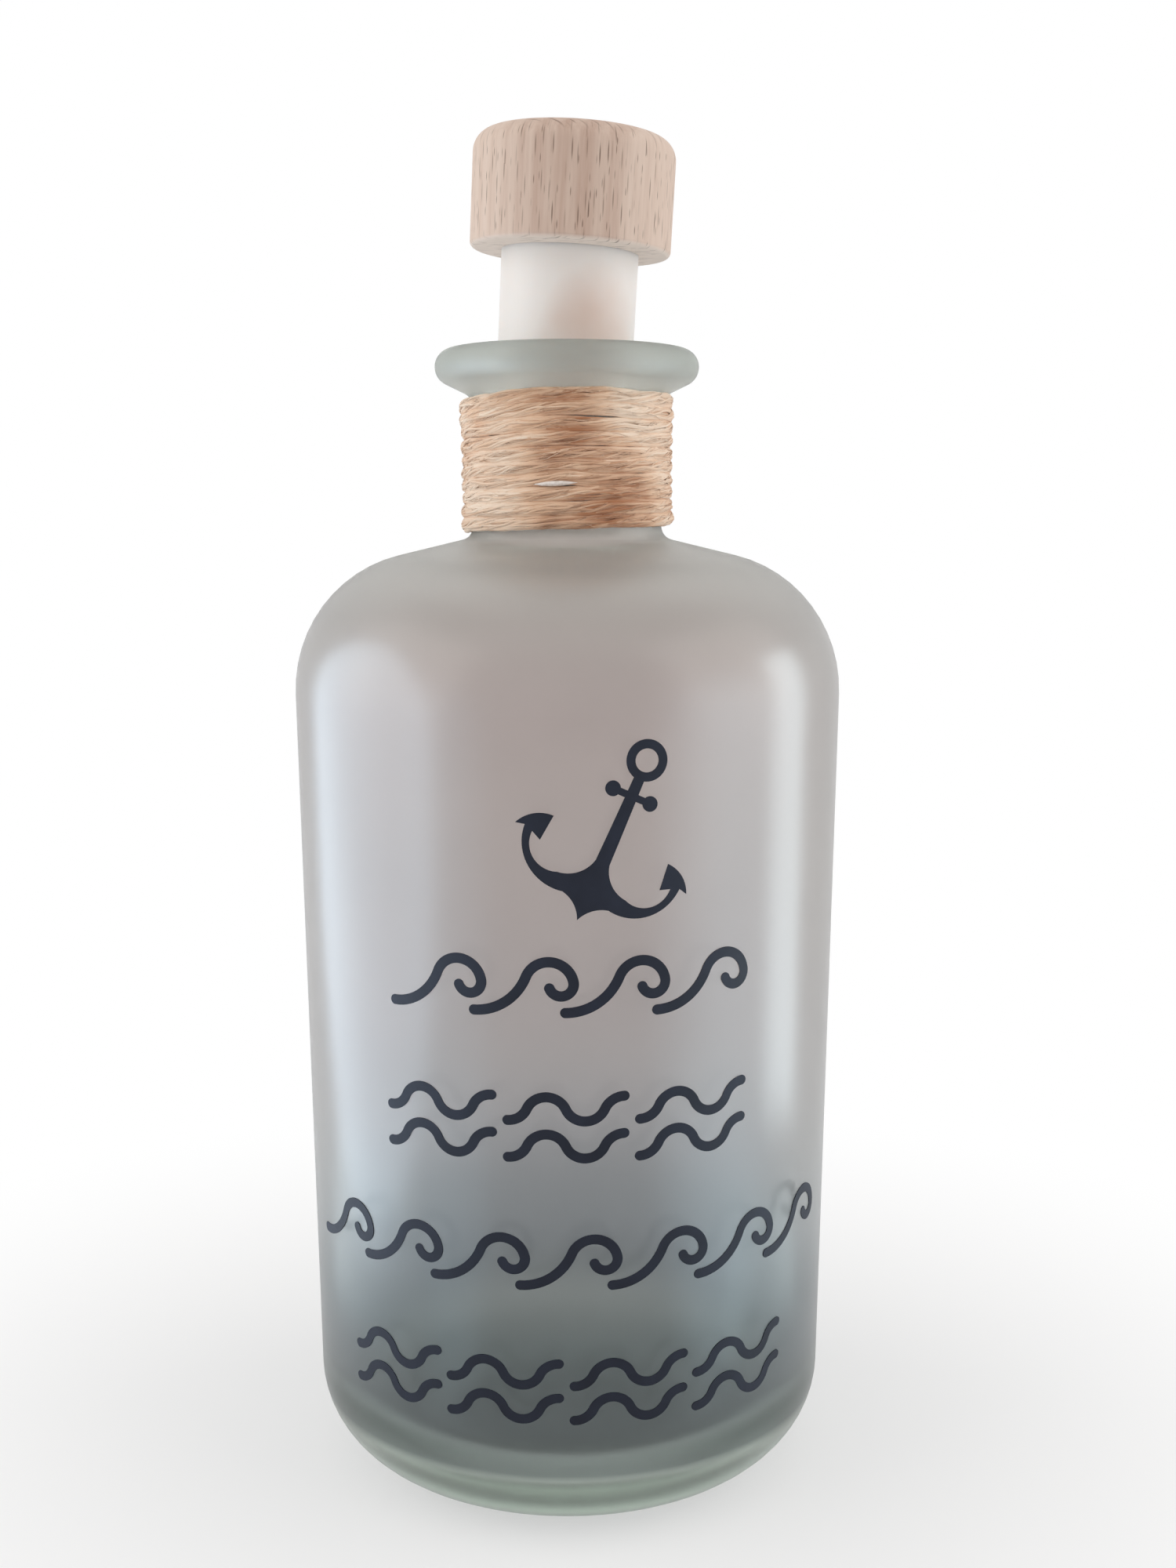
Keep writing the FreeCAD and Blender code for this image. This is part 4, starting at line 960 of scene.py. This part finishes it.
@dataclass
class GlintBead:
    """A lens-shaped pale bead between two turns of the yarn: a painted glint of the glass in the gap. Lengths are
    millimetres, angles degrees.
    """

    angle: float = -95.7
    height: float = 149.65
    end_rise: float = 0.12
    depth_radius: float = 15.12
    half_length: float = 3.1
    half_height: float = 0.36
    half_thickness: float = 0.42
    rings: int = 16
    sides: int = 12

    def build(self) -> Object:
        """Shape the bead, bent round the neck.

        Returns:
            The bead's object.
        """
        rows: list[list[Triple]] = []
        for ring in range(self.rings + 1):
            along = 2 * ring / self.rings - 1
            girth = 1 - along ** 2
            across = math.radians(self.angle) + along * self.half_length / self.depth_radius
            row = []
            for side in range(self.sides if 0 < ring < self.rings else 1):
                turn = 2 * math.pi * side / self.sides
                radius = self.depth_radius + self.half_thickness * girth * math.cos(turn)
                height = self.height + self.end_rise * along + self.half_height * girth * math.sin(turn)
                row.append((radius * math.cos(across), radius * math.sin(across), height))
            rows.append(row)
        return skin("glint_bead", rows)

    def dress(self, bead: Object, finish: GlintFinish) -> None:
        """Give the bead its finish and fix it to the bottle.

        Args:
            bead: The bead's object.
            finish: The bead's pale finish.
        """
        bead.data.materials.append(finish.make())
        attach(bead, Body.BOTTLE.value)


@dataclass
class Stopper:
    """The stopper's packed head and plug, which keep their shapes. Lengths are millimetres."""

    head_foot: Triple = (0.49, 0.0, 180.9)
    lean_deg: float = 3.0
    head_radius: float = 14.05
    head_height: float = 15.0

    def dress(self) -> list[Object]:
        """Give the head its wood and the plug its plastic.

        Returns:
            The two packed objects.
        """
        wood = Beech(self.head_foot, self.lean_deg, self.head_radius, self.head_height).make()
        plastic = MilkyPlastic().make()
        return [coat("stopper_head", wood), coat("stopper_plug", plastic)]


@dataclass
class Transfers:
    """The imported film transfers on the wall, which keep their shapes."""

    names: tuple[str, ...] = ("anchor", "wave_row_1", "wave_row_2", "wave_row_3", "wave_row_4")

    def dress(self, finish: VinylFilm) -> list[Object]:
        """Give every transfer its film.

        Args:
            finish: The film.

        Returns:
            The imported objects.
        """
        material = finish.make()
        return [coat(name, material) for name in self.names]


class LampKind(Enum):
    """What a lamp is for."""

    SOFT_BOX = "lights everything"
    STRIP = "shows in reflections only"
    GLOW = "shows in reflections only, with soft ends"
    GRID = "a glow behind a grid, which lights the front face and spares the rims"


@dataclass(frozen=True)
class Lamp:
    """A lamp, with its place as seen from the bottle's middle. Lengths are metres, angles degrees, power watts."""

    name: str
    kind: LampKind
    bearing: float
    rise: float
    distance: float
    width: float
    height: float
    power: float
    colour: str


@dataclass
class Studio:
    """The floor, the light and the camera. Lengths are metres where the name doesn't say otherwise."""

    aim: Triple = (0.0, 0.0, 0.1)
    grid_aim: Triple = (0.0, -0.03, 0.1)
    grid_spread_deg: float = 70.0
    camera_mm: Triple = (3.0, -276.1, 143.9)
    pitch_rad: float = 0.268
    focal_px: float = 2336.94
    frame_height_px: float = 2000.0
    axis_row_px: float = 1314.09
    sensor_mm: float = 36.0
    nearest: float = 0.01
    ambient: float = 0.51
    paper: str = "EFEFEF"
    floor_radius: float = 3.0
    floor_sides: int = 96
    fade: Pair = (0.04, 0.18)
    fade_share: Pair = (0.5, 1.0)
    lamps: tuple[Lamp, ...] = (
        Lamp("left_box", LampKind.SOFT_BOX, -78.0, 22.0, 1.1, 1.2, 1.2, 5.8, "FFFDFA"),
        Lamp("right_box", LampKind.SOFT_BOX, 78.0, 22.0, 1.1, 1.2, 1.2, 5.8, "FFFDFA"),
        Lamp("ceiling", LampKind.SOFT_BOX, 0.0, 75.0, 1.1, 1.2, 1.2, 1.8, "FFFAF4"),
        Lamp("left_strip", LampKind.GLOW, -80.0, -2.0, 0.11, 0.14, 0.165, 0.245, "D2E8FA"),
        Lamp("left_card", LampKind.STRIP, -82.0, -42.6, 0.136, 0.1, 0.05, 0.023, "D8EEF6"),
        Lamp("left_glow", LampKind.GRID, -42.0, -10.0, 0.112, 0.06, 0.175, 0.0065, "BCE0F4"),
        Lamp("right_strip", LampKind.STRIP, 87.0, -1.0, 0.11, 0.036, 0.125, 0.083, "E0F0F6"),
        Lamp("right_card", LampKind.STRIP, 80.0, -44.0, 0.139, 0.075, 0.04, 0.018, "D6EFF2"),
        Lamp("right_glow", LampKind.GRID, 54.0, -9.0, 0.112, 0.11, 0.17, 0.0235, "C8E6F4"),
    )

    def camera(self) -> None:
        """Set up the camera, at the photograph's place and with its framing."""
        data = bpy.data.cameras.new("camera")
        data.sensor_fit = "VERTICAL"
        data.sensor_height = self.sensor_mm
        data.lens = self.focal_px / self.frame_height_px * self.sensor_mm
        data.shift_y = (self.axis_row_px - self.frame_height_px / 2) / self.frame_height_px
        data.clip_start = self.nearest
        camera = put("camera", data)
        camera.location = [c * MM for c in self.camera_mm]
        camera.rotation_euler = (math.pi / 2 - self.pitch_rad, 0.0, 0.0)
        bpy.context.scene.camera = camera

    def hang(self, lamp: Lamp) -> None:
        """Hang one lamp and turn it to the bottle's middle, or to its front face for one behind a grid.

        Args:
            lamp: The lamp.
        """
        data = bpy.data.lights.new(lamp.name, "AREA")
        data.shape = "ELLIPSE" if lamp.kind in (LampKind.GLOW, LampKind.GRID) else "RECTANGLE"
        data.size, data.size_y = lamp.width, lamp.height
        data.energy = lamp.power
        data.color = linear(lamp.colour)[:3]
        bearing, rise = math.radians(lamp.bearing), math.radians(lamp.rise)
        way = Vector((math.sin(bearing) * math.cos(rise), -math.cos(bearing) * math.cos(rise), math.sin(rise)))
        light = put(lamp.name, data)
        light.location = Vector(self.aim) + way * lamp.distance
        if lamp.kind is LampKind.GRID:
            data.spread = math.radians(self.grid_spread_deg)
            way = light.location - Vector(self.grid_aim)
        light.rotation_euler = way.to_track_quat("Z", "Y").to_euler()
        light.visible_diffuse = light.visible_transmission = lamp.kind is LampKind.SOFT_BOX
        light.visible_camera = False

    def light(self) -> None:
        """Hang the lamps and set the surrounding light."""
        for lamp in self.lamps:
            self.hang(lamp)
        world = bpy.data.worlds.new("studio")
        world.use_nodes = True
        tree = world.node_tree
        tree.nodes.clear()
        shown = self.shows_background(tree)
        strength = add(tree, "MapRange", ranged(shown, UNIT, (self.ambient, 1.0)))
        sky = add(tree, "Background", {"Color": linear(WHITE), "Strength": strength})
        add(tree, "OutputWorld", {"Surface": sky})
        bpy.context.scene.world = world

    def shows_background(self, tree: NodeTree) -> Node:
        """Tell rays that show the background from rays that only light.

        Args:
            tree: The tree that gets the nodes.

        Returns:
            A node that gives one for camera, glossy and transmission rays.
        """
        path = add(tree, "LightPath").outputs
        seen = path["Is Camera Ray"]
        for kind in ("Is Glossy Ray", "Is Transmission Ray"):
            seen = add(tree, "Math", {0: seen, 1: path[kind]}, operation="MAXIMUM")
        return seen

    def floor(self) -> None:
        """Lay the pale floor, which fades into the white background away from the bottle."""
        mesh = bpy.data.meshes.new("floor")
        work = bmesh.new()
        bmesh.ops.create_circle(work, cap_ends=True, radius=self.floor_radius, segments=self.floor_sides)
        work.to_mesh(mesh)
        work.free()
        floor = put("floor", mesh)
        material, tree, place = new_material("white_paper_floor")
        far = add(tree, "VectorMath", {0: place}, operation="LENGTH").outputs["Value"]
        fade = add(tree, "MapRange", ranged(far, self.fade, self.fade_share), **SMOOTH)
        share = add(tree, "Math", {0: fade, 1: self.shows_background(tree)}, operation="MULTIPLY")
        paper = add(tree, "BsdfDiffuse", {"Color": linear(self.paper)})
        white = add(tree, "Emission", {"Color": linear(WHITE), "Strength": 1.0})
        mixed = add(tree, "MixShader", {0: share, 1: paper, 2: white})
        add(tree, "OutputMaterial", {"Surface": mixed})
        mesh.materials.append(material)

    def build(self) -> None:
        """Make the camera, the light and the floor."""
        self.camera()
        self.light()
        self.floor()
        bpy.context.scene.view_settings.view_transform = "Standard"


def main() -> None:
    """Build and dress every piece."""
    logging.basicConfig(level=logging.INFO, format="%(message)s")
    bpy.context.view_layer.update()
    Studio().build()
    pieces: list[Object] = []
    glass = GlassBottle()
    bottle = glass.build()
    glass.dress(bottle, FrostedGlass())
    pieces.append(bottle)
    winding = JuteWinding()
    yarn = winding.build(JuteYarn())
    winding.dress(yarn)
    pieces += yarn
    # The pale bead is a painted glint.
    glint = GlintBead()
    bead = glint.build()
    glint.dress(bead, GlintFinish())
    pieces.append(bead)
    pieces += Stopper().dress()
    pieces += Transfers().dress(VinylFilm())
    for piece in pieces:
        log.info("%s: %d faces, %s", piece.name, len(piece.data.polygons), piece.data.materials[0].name)


if __name__ == "__main__":
    main()
